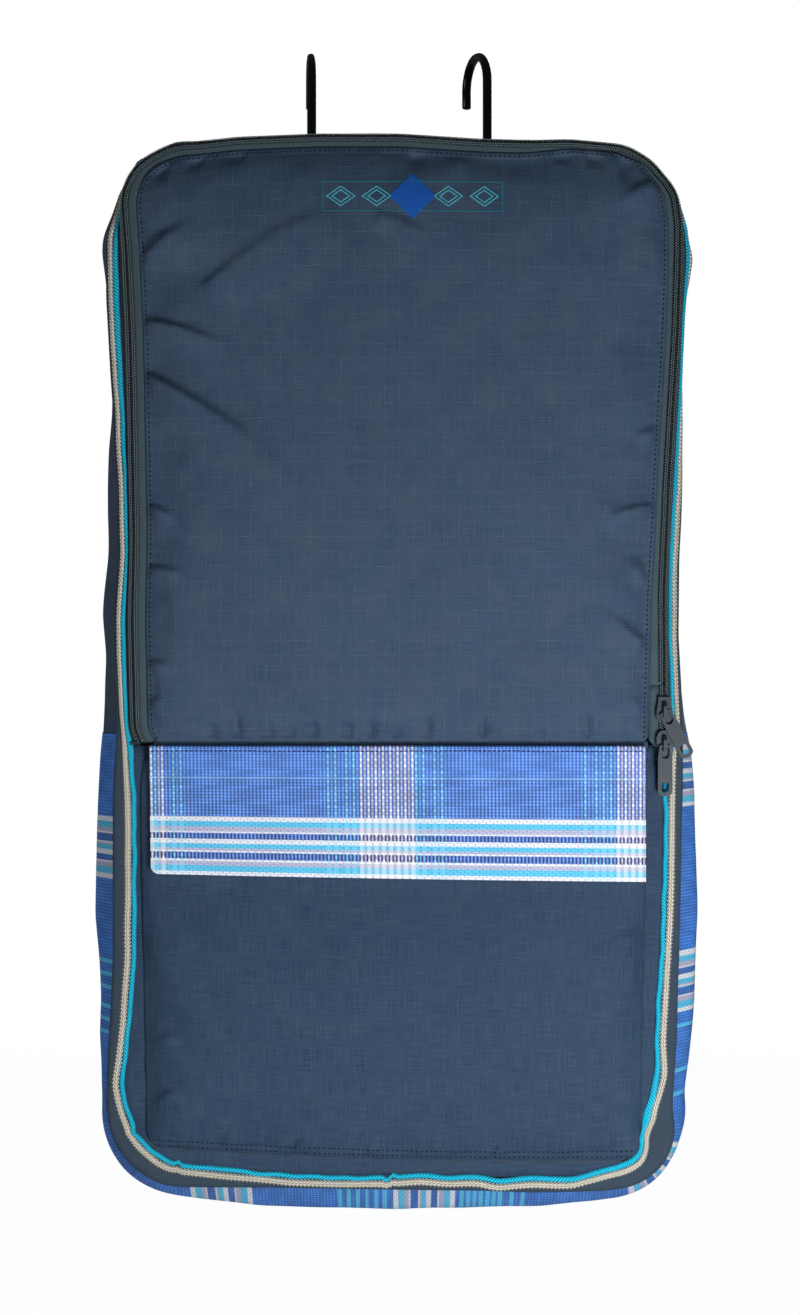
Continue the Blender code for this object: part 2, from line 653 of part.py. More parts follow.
def build_zip(materials, hinge):
    frame_run = upper_run(LEFT_ZIP_END_Z, RIGHT_ZIP_END_Z)
    frame_coil_run = upper_run(LEFT_ZIP_END_Z + STOP_LENGTH + GAP, RIGHT_ZIP_END_Z + STOP_LENGTH + GAP)
    door_run = upper_run(LEFT_ZIP_END_Z, DOOR_ZIP_RIGHT_Z + GAP)
    door_coil_run = upper_run(LEFT_ZIP_END_Z + STOP_LENGTH + GAP, DOOR_ZIP_RIGHT_Z + GAP)
    frame_tape = flat_section(SEAM_INSET, FRAME_TAPE_EDGE - SEAM_INSET, SHEET_BACK_Y, SHEET_FRONT_Y)
    door_tape = flat_section(DOOR_TAPE_EDGE, DOOR_TAPE_WIDTH, SHEET_BACK_Y, SHEET_FRONT_Y)
    add_object("frame_zip_tape", sweep(frame_run, frame_tape), materials["tape"])
    add_object("frame_zip_coil", sweep(frame_coil_run, coil_section(FRAME_COIL_INSET)),
               materials["coil"], smooth=60)
    add_object("door_zip_tape", sweep(door_run, door_tape), materials["tape"], DOOR_AXIS, hinge)
    add_object("door_zip_coil", sweep(door_coil_run, coil_section(DOOR_COIL_INSET)),
               materials["coil"], DOOR_AXIS, hinge, smooth=60)
    # The last stretch of the door's half, between the parked sliders and the hinge seam.
    tape_end = [Station(HALF_WIDTH, z, 1.0, 0.0) for z in (DOOR_ZIP_RIGHT_Z, RIGHT_ZIP_END_Z)]
    coil_end = [tape_end[0], Station(HALF_WIDTH, RIGHT_ZIP_END_Z + STOP_LENGTH + GAP, 1.0, 0.0)]
    stub_width = DOOR_INSET - GAP - DOOR_TAPE_EDGE
    stub_tape = flat_section(DOOR_TAPE_EDGE, stub_width, SHEET_BACK_Y, SHEET_FRONT_Y)
    add_object("door_zip_tape_end", sweep(tape_end, stub_tape), materials["tape"])
    add_object("door_zip_coil_end", sweep(coil_end, coil_section(DOOR_COIL_INSET)),
               materials["coil"], smooth=60)
    for name, side, end_z in (("left_zip_stop", -1, LEFT_ZIP_END_Z), ("right_zip_stop", 1, RIGHT_ZIP_END_Z)):
        centre = side * CHAIN_X
        reach = CHAIN_GAP / 2 + HALF_CHAIN_WIDTH
        outline = rounded_rectangle(centre - reach, centre + reach, end_z, end_z + STOP_LENGTH,
                                    0.2 * STOP_LENGTH, 0.2 * STOP_LENGTH, steps=2)
        add_object(name, prism(outline, TRIM_Y, TRIM_Y - 0.6 * CHAIN_HEIGHT, 'y'), materials["zinc"])


def slider_plan(z):
    """Plan of a slider's plate: a shield, broad at the shoulders and narrower at the tail."""
    half_width = SLIDER_WIDTH / 2
    half_length = SLIDER_LENGTH / 2
    shares = (
        (-0.30, 1.00), (0.30, 1.00), (0.72, 0.86), (1.00, 0.50), (1.00, 0.05),
        (0.80, -0.55), (0.76, -1.00), (-0.76, -1.00), (-0.80, -0.55), (-1.00, 0.05),
        (-1.00, 0.50), (-0.72, 0.86),
    )
    return [(CHAIN_X + half_width * across, z + half_length * along) for across, along in shares]


def build_slider(name, z, up, materials, parent):
    """Two plates held apart by a bridge between the half chains, with a bail for the pull."""
    pivot = (CHAIN_X, CHAIN_FRONT_Y, z)
    front_back_y = CHAIN_FRONT_Y - RUNNING_GAP
    rear_front_y = SHEET_BACK_Y + GAP
    rear_back_y = rear_front_y + SLIDER_PLATE_T
    bite = 0.4 * SLIDER_PLATE_T
    plan = [(x, z + up * (plan_z - z)) for x, plan_z in slider_plan(z)]
    body = add_object(name, prism(plan, SLIDER_FRONT_Y, front_back_y, 'y'), materials["zinc"], pivot, parent)
    bridge_half = CHAIN_GAP / 2 - GAP
    nose = z + up * (SLIDER_LENGTH / 2 - SLIDER_PLATE_T)
    bridge = [
        (CHAIN_X - 0.4 * bridge_half, nose), (CHAIN_X + 0.4 * bridge_half, nose),
        (CHAIN_X + bridge_half, nose - up * 0.4 * BRIDGE_LENGTH),
        (CHAIN_X + 0.3 * bridge_half, nose - up * BRIDGE_LENGTH),
        (CHAIN_X - 0.3 * bridge_half, nose - up * BRIDGE_LENGTH),
        (CHAIN_X - bridge_half, nose - up * 0.4 * BRIDGE_LENGTH),
    ]
    rear_plan = [(CHAIN_X + 0.92 * (x - CHAIN_X), z + 0.96 * (plan_z - z)) for x, plan_z in plan]
    parts = [
        prism(rear_plan, rear_front_y, rear_back_y, 'y'),
        prism(bridge, front_back_y - bite, rear_front_y + bite, 'y'),
    ]
    flange_inner = CHAIN_GAP / 2 + HALF_CHAIN_WIDTH + RUNNING_GAP
    flange_outer = 0.98 * SLIDER_WIDTH / 2
    flange_ends = [z + up * share * SLIDER_LENGTH / 2 for share in (0.05, 0.50)]
    for side in (-1, 1):
        outline = [(CHAIN_X + side * flange_inner, flange_ends[0]),
                   (CHAIN_X + side * flange_outer, flange_ends[0]),
                   (CHAIN_X + side * flange_outer, flange_ends[1]),
                   (CHAIN_X + side * flange_inner, flange_ends[1])]
        parts.append(prism(outline, front_back_y - bite, TRIM_Y - RUNNING_GAP, 'y'))
    bail_path = [
        (SLIDER_FRONT_Y + bite, z + BAIL_UP),
        (BAIL_INNER_Y + BAIL_T, z + BAIL_UP),
        (BAIL_INNER_Y - BAIL_T / 2, z + BAIL_UP - 2 * BAIL_T),
        (BAIL_INNER_Y - BAIL_T / 2, z - BAIL_DOWN + BAIL_T / 2),
        (SLIDER_FRONT_Y + bite, z - BAIL_DOWN + BAIL_T / 2),
    ]
    parts.append(bar_strip(bail_path, BAIL_T, CHAIN_X - BAIL_WIDTH / 2, CHAIN_X + BAIL_WIDTH / 2))
    for index, part in enumerate(parts):
        tool = add_object(f"add_{name}_{index}", part, materials["zinc"], pivot, parent)
        add_boolean(body, tool, 'UNION')
    return body


def build_pull(name, z, tilt, materials, parent):
    """A flat tab with a slot round the bail and a hole at its end, turned by tilt in its plane."""
    pivot = Vector((CHAIN_X, PULL_PIVOT_Y, z - PULL_PIVOT_DROP))
    turn = Matrix.Rotation(-tilt, 4, 'Y')
    top = PULL_BAR / 2
    bottom = top - PULL_LENGTH
    back_y = PULL_T / 2
    neck = 0.80 * PULL_WIDTH / 2
    outline = [
        (-neck, top - 0.3 * PULL_BAR), (-0.7 * neck, top), (0.7 * neck, top), (neck, top - 0.3 * PULL_BAR),
        (PULL_WIDTH / 2, top - PULL_BAR - PULL_SLOT_LENGTH),
    ]
    round_radius = PULL_WIDTH / 2
    for step in range(2 * ARC_STEPS + 1):
        angle = -math.pi * step / (2 * ARC_STEPS)
        outline.append((round_radius * math.cos(angle), bottom + 0.7 * round_radius * (1 + math.sin(angle))))
    outline.append((-PULL_WIDTH / 2, top - PULL_BAR - PULL_SLOT_LENGTH))

    def placed(bm):
        bmesh.ops.transform(bm, matrix=Matrix.Translation(pivot) @ turn, verts=bm.verts)
        return bm

    tab = add_object(name, placed(prism(outline, -back_y, back_y, 'y')), materials["zinc"], pivot, parent)
    slot_top = top - PULL_BAR
    hole_bottom = bottom + PULL_RIM
    cuts = (
        rounded_rectangle(-PULL_SLOT_WIDTH / 2, PULL_SLOT_WIDTH / 2, slot_top - PULL_SLOT_LENGTH, slot_top,
                          0.15 * PULL_SLOT_WIDTH, 0.45 * PULL_SLOT_WIDTH, steps=3),
        rounded_rectangle(-PULL_HOLE_WIDTH / 2, PULL_HOLE_WIDTH / 2, hole_bottom,
                          hole_bottom + PULL_HOLE_LENGTH, 0.3 * PULL_HOLE_WIDTH, 0.49 * PULL_HOLE_WIDTH,
                          steps=3),
    )
    for index, cut in enumerate(cuts):
        tool = add_object(f"cut_{name}_{index}", placed(prism(cut, -3 * back_y, 3 * back_y, 'y')),
                          materials["zinc"], pivot, parent)
        add_boolean(tab, tool, 'DIFFERENCE')
    return tab


def build_sliders(materials):
    lower_rail = add_joint("lower_slider_rail", Vector((CHAIN_X, CHAIN_FRONT_Y, LOWER_SLIDER_Z)))
    upper_rail = add_joint("upper_slider_rail", Vector((CHAIN_X, CHAIN_FRONT_Y, UPPER_SLIDER_Z)))
    build_slider("lower_slider", LOWER_SLIDER_Z, 1, materials, lower_rail)
    build_slider("upper_slider", UPPER_SLIDER_Z, -1, materials, upper_rail)
    build_pull("lower_pull_tab", LOWER_SLIDER_Z, 0.0, materials, lower_rail)
    build_pull("upper_pull_tab", UPPER_SLIDER_Z, UPPER_PULL_TILT, materials, upper_rail)


# ---------------------------------------------------------------------------
# Lower front: panel, pocket and flap
# ---------------------------------------------------------------------------

def build_base_panel(materials):
    """Flat panel from the hinge seam to the bottom seam, notched for the tail of the zip."""
    edge = HALF_WIDTH - SEAM_INSET
    notch_x = HALF_WIDTH - DOOR_INSET
    notch_z = HINGE_Z - ZIP_TAIL
    radius = CORNER_RADIUS - SEAM_INSET
    low = rounded_rectangle(-edge, edge, BOTTOM_Z + SEAM_INSET, HINGE_Z, radius, radius)
    bottom_arcs = low[2 * (ARC_STEPS + 1):]
    outline = [(notch_x, HINGE_Z), (-edge, HINGE_Z)] + bottom_arcs + [(edge, notch_z), (notch_x, notch_z)]
    add_object("front_base_panel", prism(outline, SHEET_BACK_Y, SHEET_FRONT_Y, 'y'), materials["ripstop"])


def build_pocket(materials):
    """A shallow tray sewn to the base panel by its two sides and its bottom."""
    half = POCKET_WIDTH / 2
    outer = rounded_rectangle(-half, half, POCKET_BOTTOM_Z, POCKET_TOP_Z, SHEET_T, POCKET_CORNER)
    inner = rounded_rectangle(-half + SHEET_T, half - SHEET_T, POCKET_BOTTOM_Z + SHEET_T,
                              POCKET_TOP_Z + 3 * SHEET_T, SHEET_T, POCKET_CORNER - SHEET_T)
    pocket = add_object("pocket_panel", prism(outer, TRIM_Y, POCKET_FRONT_Y, 'y'), materials["ripstop"])
    room = add_object("cut_pocket_room", prism(inner, TRIM_Y + SHEET_T, POCKET_BACK_Y, 'y'),
                      materials["ripstop"])
    add_boolean(pocket, room, 'DIFFERENCE')
    strip_low = FLAP_BOTTOM_Z + CLOSURE_RISE
    strip = rounded_rectangle(-CLOSURE_WIDTH / 2, CLOSURE_WIDTH / 2, strip_low, strip_low + CLOSURE_HEIGHT,
                              CLOSURE_T, CLOSURE_T, steps=2)
    add_object("pocket_loop_strip", prism(strip, LOOP_BACK_Y, LOOP_FRONT_Y, 'y'), materials["closure"])
    return strip


def build_flap(materials, strip):
    """Mesh flap that folds along the lower edge of its sewn-down band."""
    half = FLAP_WIDTH / 2
    fold = add_joint("flap_fold", FLAP_AXIS)
    flap = rounded_rectangle(-half, half, FLAP_BOTTOM_Z, FLAP_TOP_Z, FLAP_T, FLAP_CORNER, steps=3)
    add_object("pocket_flap", prism(flap, FLAP_BACK_Y, FLAP_FRONT_Y, 'y'), materials["mesh"], FLAP_AXIS, fold)
    add_object("flap_hook_strip", prism(strip, STRIP_BACK_Y, STRIP_FRONT_Y, 'y'), materials["closure"],
               FLAP_AXIS, fold)
    band_back = TRIM_Y - FLAP_T / 2
    band = (
        (band_back, HINGE_Z - HINGE_GAP),
        (band_back, HINGE_Z - 0.35 * FLAP_BAND_DROP),
        (FLAP_AXIS.y, FLAP_AXIS.z + HINGE_GAP + FLAP_T / 2),
    )
    add_object("flap_top_band", bar_strip(band, FLAP_T, -half, half), materials["mesh"])


# ---------------------------------------------------------------------------
# Hanger board, hanging hooks and revolving hook
# ---------------------------------------------------------------------------

def hook_sides():
    return (("left", -HOOK_SPACING / 2), ("right", HOOK_SPACING / 2))


def build_board(materials):
    outline = rounded_rectangle(-BOARD_WIDTH / 2, BOARD_WIDTH / 2, -BOARD_DEPTH / 2, BOARD_DEPTH / 2,
                                BOARD_CORNER, BOARD_CORNER)
    board = add_object("hanger_board", prism(outline, BOARD_BOTTOM_Z, BOARD_TOP_Z, 'z'), materials["board"])
    low = BOARD_BOTTOM_Z - BOARD_T
    high = BOARD_TOP_Z + BOARD_T
    head_seat = BOARD_TOP_Z - SWIVEL_HEAD_T - 2 * GAP
    cuts = [("swivel", SWIVEL_HOLE_RADIUS, 0.0, low), ("head", SWIVEL_HEAD_DIAMETER / 2 + GAP, 0.0, head_seat)]
    cuts += [(side, ROD_HOLE_RADIUS, x, low) for side, x in hook_sides()]
    for label, radius, x, bottom in cuts:
        tool = add_object("cut_board_" + label, stacked_discs(((radius, bottom), (radius, high)), x),
                          materials["board"])
        add_boolean(board, tool, 'DIFFERENCE')


def hook_path():
    """Stem up from its nut, over the crown and down to the tip, in the plane x = 0."""
    path = [(0.0, 0.0, STEM_END_Z), (0.0, 0.0, (STEM_END_Z + HOOK_ARC_Z) / 2)]
    steps = 4 * ARC_STEPS
    for step in range(steps + 1):
        angle = math.pi * (1.0 - step / steps)
        path.append((0.0, HOOK_RADIUS + HOOK_RADIUS * math.cos(angle),
                     HOOK_ARC_Z + HOOK_RADIUS * math.sin(angle)))
    path.append((0.0, 2 * HOOK_RADIUS, HOOK_ARC_Z - HOOK_TIP_LENGTH))
    return path


def hex_nut(centre_x, bore_radius, flats, bottom_z, height):
    """A six-sided nut with a round bore."""
    sides = 12
    outer = []
    for index in range(sides):
        angle = math.pi / 6 * index
        radius = flats / 2 if index % 2 else flats / 2 / math.cos(math.pi / 6)
        outer.append((centre_x + radius * math.cos(angle), radius * math.sin(angle)))
    inner = circle(bore_radius, sides, (centre_x, 0.0))
    top_z = bottom_z + height
    return loft([
        [(x, y, bottom_z) for x, y in inner],
        [(x, y, bottom_z) for x, y in outer],
        [(x, y, top_z) for x, y in outer],
        [(x, y, top_z) for x, y in inner],
    ], closed_path=True)


def ring_profile(inner, outer, bottom_z, top_z):
    return ((inner, bottom_z), (outer, bottom_z), (outer, top_z), (inner, top_z))


def build_hooks(materials):
    turns = {"left": LEFT_HOOK_TURN, "right": RIGHT_HOOK_TURN}
    for side, x in hook_sides():
        pivot = Vector((x, 0.0, BOARD_TOP_Z))
        swivel = add_joint(side + "_hook_swivel", pivot)
        rod = tube(hook_path(), ROD_DIAMETER / 2)
        turn = Matrix.Translation((x, 0.0, 0.0)) @ Matrix.Rotation(turns[side], 4, 'Z')
        bmesh.ops.transform(rod, matrix=turn, verts=rod.verts)
        add_object(side + "_hook", rod, materials["black_rod"], pivot, swivel, smooth=50)
        washer = ring_profile(ROD_HOLE_RADIUS, WASHER_DIAMETER / 2, WASHER_TOP_Z - WASHER_T, WASHER_TOP_Z)
        add_object(side + "_hook_washer", turned(washer, x), materials["steel"], pivot, swivel, smooth=40)
        nut = hex_nut(x, ROD_DIAMETER / 2 + GAP, NUT_FLATS, NUT_TOP_Z - NUT_HEIGHT, NUT_HEIGHT)
        add_object(side + "_hook_nut", nut, materials["steel"], pivot, swivel)
        barrel = ROD_HOLE_RADIUS + GROMMET_WALL
        flange_low = TOP_Z + GAP
        grommet = (
            (ROD_HOLE_RADIUS, BOARD_TOP_Z + GAP), (barrel, BOARD_TOP_Z + GAP), (barrel, flange_low),
            (GROMMET_DIAMETER / 2, flange_low), (0.92 * GROMMET_DIAMETER / 2, flange_low + 0.6 * GROMMET_T),
            (barrel, flange_low + GROMMET_T), (ROD_HOLE_RADIUS, flange_low + 0.7 * GROMMET_T),
        )
        add_object(side + "_grommet", turned(grommet, x), materials["steel"], smooth=40)


def prong_path():
    """Inner leg down from the hub, a half turn outwards and a short rise, in the plane x = 0."""
    bend_z = HUB_TOP_Z - PRONG_DROP
    path = [(0.0, PRONG_ROOT - 0.3 * PRONG_DIAMETER, HUB_BOTTOM_Z + 0.5 * HUB_HEIGHT),
            (0.0, PRONG_ROOT, HUB_BOTTOM_Z), (0.0, PRONG_ROOT, bend_z)]
    steps = 2 * ARC_STEPS
    for step in range(1, steps + 1):
        angle = math.pi + math.pi * step / steps
        path.append((0.0, PRONG_ROOT + PRONG_RADIUS + PRONG_RADIUS * math.cos(angle),
                     bend_z + PRONG_RADIUS * math.sin(angle)))
    path.append((0.0, PRONG_ROOT + 2 * PRONG_RADIUS, bend_z + PRONG_RISE))
    return path


def build_revolving_hook(materials):
    pivot = Vector((0.0, 0.0, HUB_TOP_Z))
    swivel = add_joint("bridle_hook_swivel", pivot)
    hub = add_object("bridle_hook",
                     turned(ring_profile(SWIVEL_HOLE_RADIUS, HUB_DIAMETER / 2, HUB_BOTTOM_Z, HUB_TOP_Z)),
                     materials["steel"], pivot, swivel, smooth=40)
    tip = prong_path()[-1]
    for index in range(PRONG_COUNT):
        turn = Matrix.Rotation(2 * math.pi * (index + 0.5) / PRONG_COUNT, 4, 'Z')
        prong = tube(prong_path(), PRONG_DIAMETER / 2, 10)
        ball = bmesh.new()
        bmesh.ops.create_uvsphere(ball, u_segments=10, v_segments=7, radius=PRONG_BALL_DIAMETER / 2,
                                  matrix=Matrix.Translation(tip))
        for label, piece in (("prong", prong), ("ball", ball)):
            bmesh.ops.transform(piece, matrix=turn, verts=piece.verts)
            tool = add_object(f"add_{label}_{index}", piece, materials["steel"], pivot, swivel)
            add_boolean(hub, tool, 'UNION')
    head_top = BOARD_TOP_Z - GAP
    head_low = head_top - SWIVEL_HEAD_T
    shank_end = SWIVEL_NUT_TOP_Z - NUT_HEIGHT - HOOK_STEM_END
    bolt = (
        (SWIVEL_DIAMETER / 2, shank_end), (SWIVEL_DIAMETER / 2, head_low),
        (SWIVEL_HEAD_DIAMETER / 2, head_low), (SWIVEL_HEAD_DIAMETER / 2, head_top),
    )
    add_object("swivel_bolt", stacked_discs(bolt), materials["steel"], smooth=40)
    add_object("swivel_nut",
               hex_nut(0.0, SWIVEL_DIAMETER / 2 + GAP, NUT_FLATS, SWIVEL_NUT_TOP_Z - NUT_HEIGHT, NUT_HEIGHT),
               materials["steel"])


def clear_scene():
    for obj in list(bpy.data.objects):
        bpy.data.objects.remove(obj, do_unlink=True)


def main():
    clear_scene()
    materials = make_materials()
    hinge = add_joint("door_hinge", DOOR_AXIS)
    build_gussets(materials)
    build_back(materials)
    build_bindings(materials)
    build_door(materials, hinge)
    build_zip(materials, hinge)
    build_sliders(materials)
    build_base_panel(materials)
    strip = build_pocket(materials)
    build_flap(materials, strip)
    build_board(materials)
    build_hooks(materials)
    build_revolving_hook(materials)


main()
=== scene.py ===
import json
import math

import bmesh
import bpy
import numpy as np
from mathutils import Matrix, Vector, noise
from mathutils.bvhtree import BVHTree


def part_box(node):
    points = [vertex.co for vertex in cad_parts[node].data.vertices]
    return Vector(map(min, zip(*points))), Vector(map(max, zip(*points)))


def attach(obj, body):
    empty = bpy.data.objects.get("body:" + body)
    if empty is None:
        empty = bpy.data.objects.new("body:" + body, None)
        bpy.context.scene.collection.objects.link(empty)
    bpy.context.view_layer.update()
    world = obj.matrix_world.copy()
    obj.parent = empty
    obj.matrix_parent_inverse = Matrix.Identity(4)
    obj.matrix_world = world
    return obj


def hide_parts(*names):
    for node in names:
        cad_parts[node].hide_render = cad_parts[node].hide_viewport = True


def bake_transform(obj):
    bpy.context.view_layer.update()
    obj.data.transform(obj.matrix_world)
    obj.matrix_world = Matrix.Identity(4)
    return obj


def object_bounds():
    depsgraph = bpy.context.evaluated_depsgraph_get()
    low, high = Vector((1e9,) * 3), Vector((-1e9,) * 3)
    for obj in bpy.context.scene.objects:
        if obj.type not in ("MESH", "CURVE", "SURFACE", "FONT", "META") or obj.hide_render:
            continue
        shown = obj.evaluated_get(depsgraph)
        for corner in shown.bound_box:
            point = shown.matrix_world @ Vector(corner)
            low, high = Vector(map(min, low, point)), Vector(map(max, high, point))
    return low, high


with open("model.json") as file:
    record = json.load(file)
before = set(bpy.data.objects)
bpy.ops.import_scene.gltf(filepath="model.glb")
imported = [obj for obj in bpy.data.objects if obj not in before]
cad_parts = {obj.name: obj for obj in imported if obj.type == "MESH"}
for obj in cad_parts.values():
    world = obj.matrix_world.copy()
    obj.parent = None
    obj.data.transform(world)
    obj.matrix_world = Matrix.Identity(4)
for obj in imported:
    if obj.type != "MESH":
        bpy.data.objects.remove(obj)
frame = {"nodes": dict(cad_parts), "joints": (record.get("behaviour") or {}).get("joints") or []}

MM = 0.001
CAD_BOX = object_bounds()
NODES = frame["nodes"]
PIVOTS = {joint["name"]: joint.get("pos_m") for joint in frame["joints"]}

# ---- The frame's own places ----
SEAM_INSET = 0.0005
CORNER_RADIUS = 0.042
back_low, back_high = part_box("back_shell")
door_low, door_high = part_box("door_shell")
pocket_low, pocket_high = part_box("pocket_panel")
flap_low, flap_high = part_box("pocket_flap")
slider_low, slider_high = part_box("lower_slider")
board_low, board_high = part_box("hanger_board")
right_stop_low, right_stop_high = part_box("right_zip_stop")

HALF_WIDTH = back_high.x + SEAM_INSET
TOP_Z = back_high.z + SEAM_INSET
BOTTOM_Z = back_low.z - SEAM_INSET
SHEET_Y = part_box("frame_zip_tape")[0].y         # front face of the flat sheets
REAR_Y = back_low.y                             # back seam
HINGE_Z = door_low.z
CHAIN_X = (slider_low.x + slider_high.x) / 2
CHAIN_INSET = HALF_WIDTH - CHAIN_X
GUSSET_SEAM_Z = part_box("upper_gusset")[0].z
ZIP_END_Z = right_stop_low.z                    # lower end of the zip on the right
DOOR_SPLIT_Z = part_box("door_zip_coil_end")[1].z

# ---------------------------------------------------------------------------
# Places round the outline, measured from the bottom centre, clockwise seen from the front
# ---------------------------------------------------------------------------

HALF_RUN = HALF_WIDTH - CORNER_RADIUS
SIDE_RUN = TOP_Z - BOTTOM_Z - 2 * CORNER_RADIUS
ARC = CORNER_RADIUS * math.pi / 2
LENGTH = 4 * (HALF_RUN + ARC) + 2 * SIDE_RUN
HEEL_Z = BOTTOM_Z + CORNER_RADIUS
SHOULDER_Z = TOP_Z - CORNER_RADIUS


def left(z):
    return HALF_RUN + ARC + (z - HEEL_Z)


def right(z):
    return LENGTH - left(z)


def top(x):
    return LENGTH / 2 + x


def bottom(x):
    return -x


def top_left(run):
    """A place run past the middle of that corner, clockwise; the other corners follow."""
    return left(SHOULDER_Z) + ARC / 2 + run


def top_right(run):
    return LENGTH - top_left(0.0) + run


def low_left(run):
    return HALF_RUN + ARC / 2 + run


def low_right(run):
    return LENGTH - low_left(0.0) + run


def outline(s):
    """x, z, and the outward direction nx, nz at each place s."""
    s = np.mod(np.asarray(s, float), LENGTH)
    sign = np.where(s > LENGTH / 2, -1.0, 1.0)
    t = np.minimum(s, LENGTH - s)
    side_start, top_start = HALF_RUN + ARC, HALF_RUN + ARC + SIDE_RUN
    turned = np.clip(t - HALF_RUN, 0.0, ARC) + np.clip(t - top_start, 0.0, ARC)
    nx, nz = -np.sin(turned / CORNER_RADIUS), -np.cos(turned / CORNER_RADIUS)
    x = np.maximum(t - top_start - ARC, 0.0) - np.minimum(t, HALF_RUN) + CORNER_RADIUS * nx
    z = HEEL_Z + np.clip(t - side_start, 0.0, SIDE_RUN) + CORNER_RADIUS * nz
    return x * sign, z, nx * sign, nz


def nearest(x, z):
    """The place on the outline nearest to each point, and how far inside it the point is."""
    away, level = np.abs(x), np.clip(z, HEEL_Z, SHOULDER_Z)
    dx, dz = away - HALF_RUN, z - level
    corner = (dx > 0) & (dz != 0)
    to_side, to_top, to_bottom = HALF_WIDTH - away, TOP_Z - z, z - BOTTOM_Z
    inset = np.minimum(np.minimum(to_side, to_top), to_bottom)
    inset = np.where(corner, CORNER_RADIUS - np.hypot(dx, dz), inset)
    s = np.where((to_side <= to_top) & (to_side <= to_bottom), left(level),
                 np.where(to_top < to_bottom, LENGTH / 2 - away, away))
    turn = CORNER_RADIUS * np.arctan2(np.abs(dz), np.maximum(dx, 1e-9))
    s = np.where(corner, np.where(dz > 0, left(SHOULDER_Z) + turn, left(HEEL_Z) - turn), s)
    return np.where(x < 0, s, LENGTH - s), inset


def along(*rows, unit=MM):
    """A smooth periodic function of s. Each row is a side, then place (mm), value, place, value."""
    pairs = sorted((side(place * MM) % LENGTH, value * unit) for side, *numbers in rows
                   for place, value in zip(numbers[::2], numbers[1::2]))
    places, values = np.array(pairs).T
    places = np.concatenate([places - LENGTH, places, places + LENGTH])
    fine = np.linspace(-0.1 * LENGTH, 1.1 * LENGTH, 2400)
    drawn = np.interp(fine, places, np.tile(values, 3))
    kernel = np.hanning(17)[1:-1]
    drawn = np.convolve(np.pad(drawn, 7, mode="edge"), kernel / kernel.sum(), mode="valid")
    return lambda s: np.interp(np.mod(s, LENGTH), fine, drawn)


def smooth(low, high, value):
    share = np.clip((value - low) / (high - low), 0.0, 1.0)
    return share * share * (3.0 - 2.0 * share)


def bell(value, width):
    return np.exp(-(value / width) ** 2)


def mixed(first, second, share):
    return first * (1.0 - share) + second * share


def stacked(*parts):
    """Coordinates side by side along a new last axis."""
    return np.stack(np.broadcast_arrays(*parts), axis=-1)


def noise_at(*place):
    """Smooth noise at each point of three arrays or numbers."""
    grids = np.broadcast_arrays(*place)
    points = zip(*(grid.ravel().tolist() for grid in grids))
    return np.array([noise.noise(Vector(point)) for point in points]).reshape(grids[0].shape)


def value_noise(x, z, scale, seed):
    return noise_at(x * scale, z * scale, seed)


# How the front's rim lies: the zip is drawn outwards, and the bound seam rolls back behind it.
chain_out = along(
    (left, -437, -4.5, -428, 0, -360, 1.5, -310, 0.5, -210, 2.2, -180, 3, -132, 5.3, -105, 7.5, -460, 0),
    (top_left, -12, 5.8, 12, 3.4),
    (top, -125, 5, -100, 7.8, -50, 9.8, 0, 9.8, 50, 6.6, 80, 5.8, 105, 6.4, 125, 4.6),
    (top_right, -12, 1.6, 12, 2.2),
    (right, -100, 7.4, -115, 9.6, -135, 9.6, -180, 8.2, -275, 2.6, -345, -0.4, -390, 0, -460, 0),
    (bottom, 0, 0))
binding_out = along(
    (left, -660, 2, -620, 1.2, -570, -1, -470, -1, -430, -2.2, -400, -0.8, -360, 0, -320, -2.8, -280, -1.8,
     -235, 0, -210, 1.8, -160, 4.6, -123, 4.4, -108, 0.2),
    (top_left, -12, -6.2, 0, -7.4), (top, -125, -7.4, -30, -5.6, -16, -2.2, -4, -5.6, 60, -8, 125, -11),
    (top_right, 0, -13, 14, -6),
    (right, -104, 1, -118, 5.8, -135, 7.6, -172, 4.4, -222, 2.2, -270, -0.6, -320, -3.8, -370, -4.4,
     -400, -2.8, -430, -1.8, -480, -3.6, -570, -5.8, -620, -8.4, -660, -12),
    (low_right, 0, -7), (bottom, 120, -3, 0, -1, -120, -3), (low_left, 0, -4))
roll = along(
    (left, -500, 0, -440, 0.8, -380, 3, -150, 5, -110, 7.5), (top_left, 0, 9), (top, -120, 8, 120, 8),
    (top_right, 0, 9), (right, -105, 9, -140, 7, -300, 6, -380, 4, -440, 1, -500, 0), (bottom, 0, 0))
# How far the gusset stands out beyond the seam.
fullness = along(
    (left, -100, 7, -116, 10.6, -130, 10.4, -154, 7.2, -180, 5.2, -205, 5, -228, 6.4, -250, 9.6, -280, 11,
     -356, 13, -382, 11.8, -410, 12.8, -445, 15.2, -496, 17.5, -547, 17.8, -598, 13.6, -620, 14, -640, 12.2,
     -660, 11.2),
    (low_left, 0, 17.2), (bottom, -138, 15.8, -90, 21.8, 0, 23.2, 90, 22, 138, 17.2),
    (low_right, 12, 16.2, -16, 12),
    (right, -656, 12.4, -638, 14.2, -610, 15.6, -582, 16.4, -545, 16.7, -508, 15.6, -471, 13.6, -445, 11,
     -420, 6.6, -400, 4.7, -356, 3.5, -310, 2.8, -280, 5.2, -250, 4.8, -212, 4.6, -190, 3, -157, 3, -138, 5,
     -120, 6.8, -100, 4.6),
    (top_right, 0, 4), (top, 100, 0, -100, 0), (top_left, 9, 6, 0, 12, -9, 6))
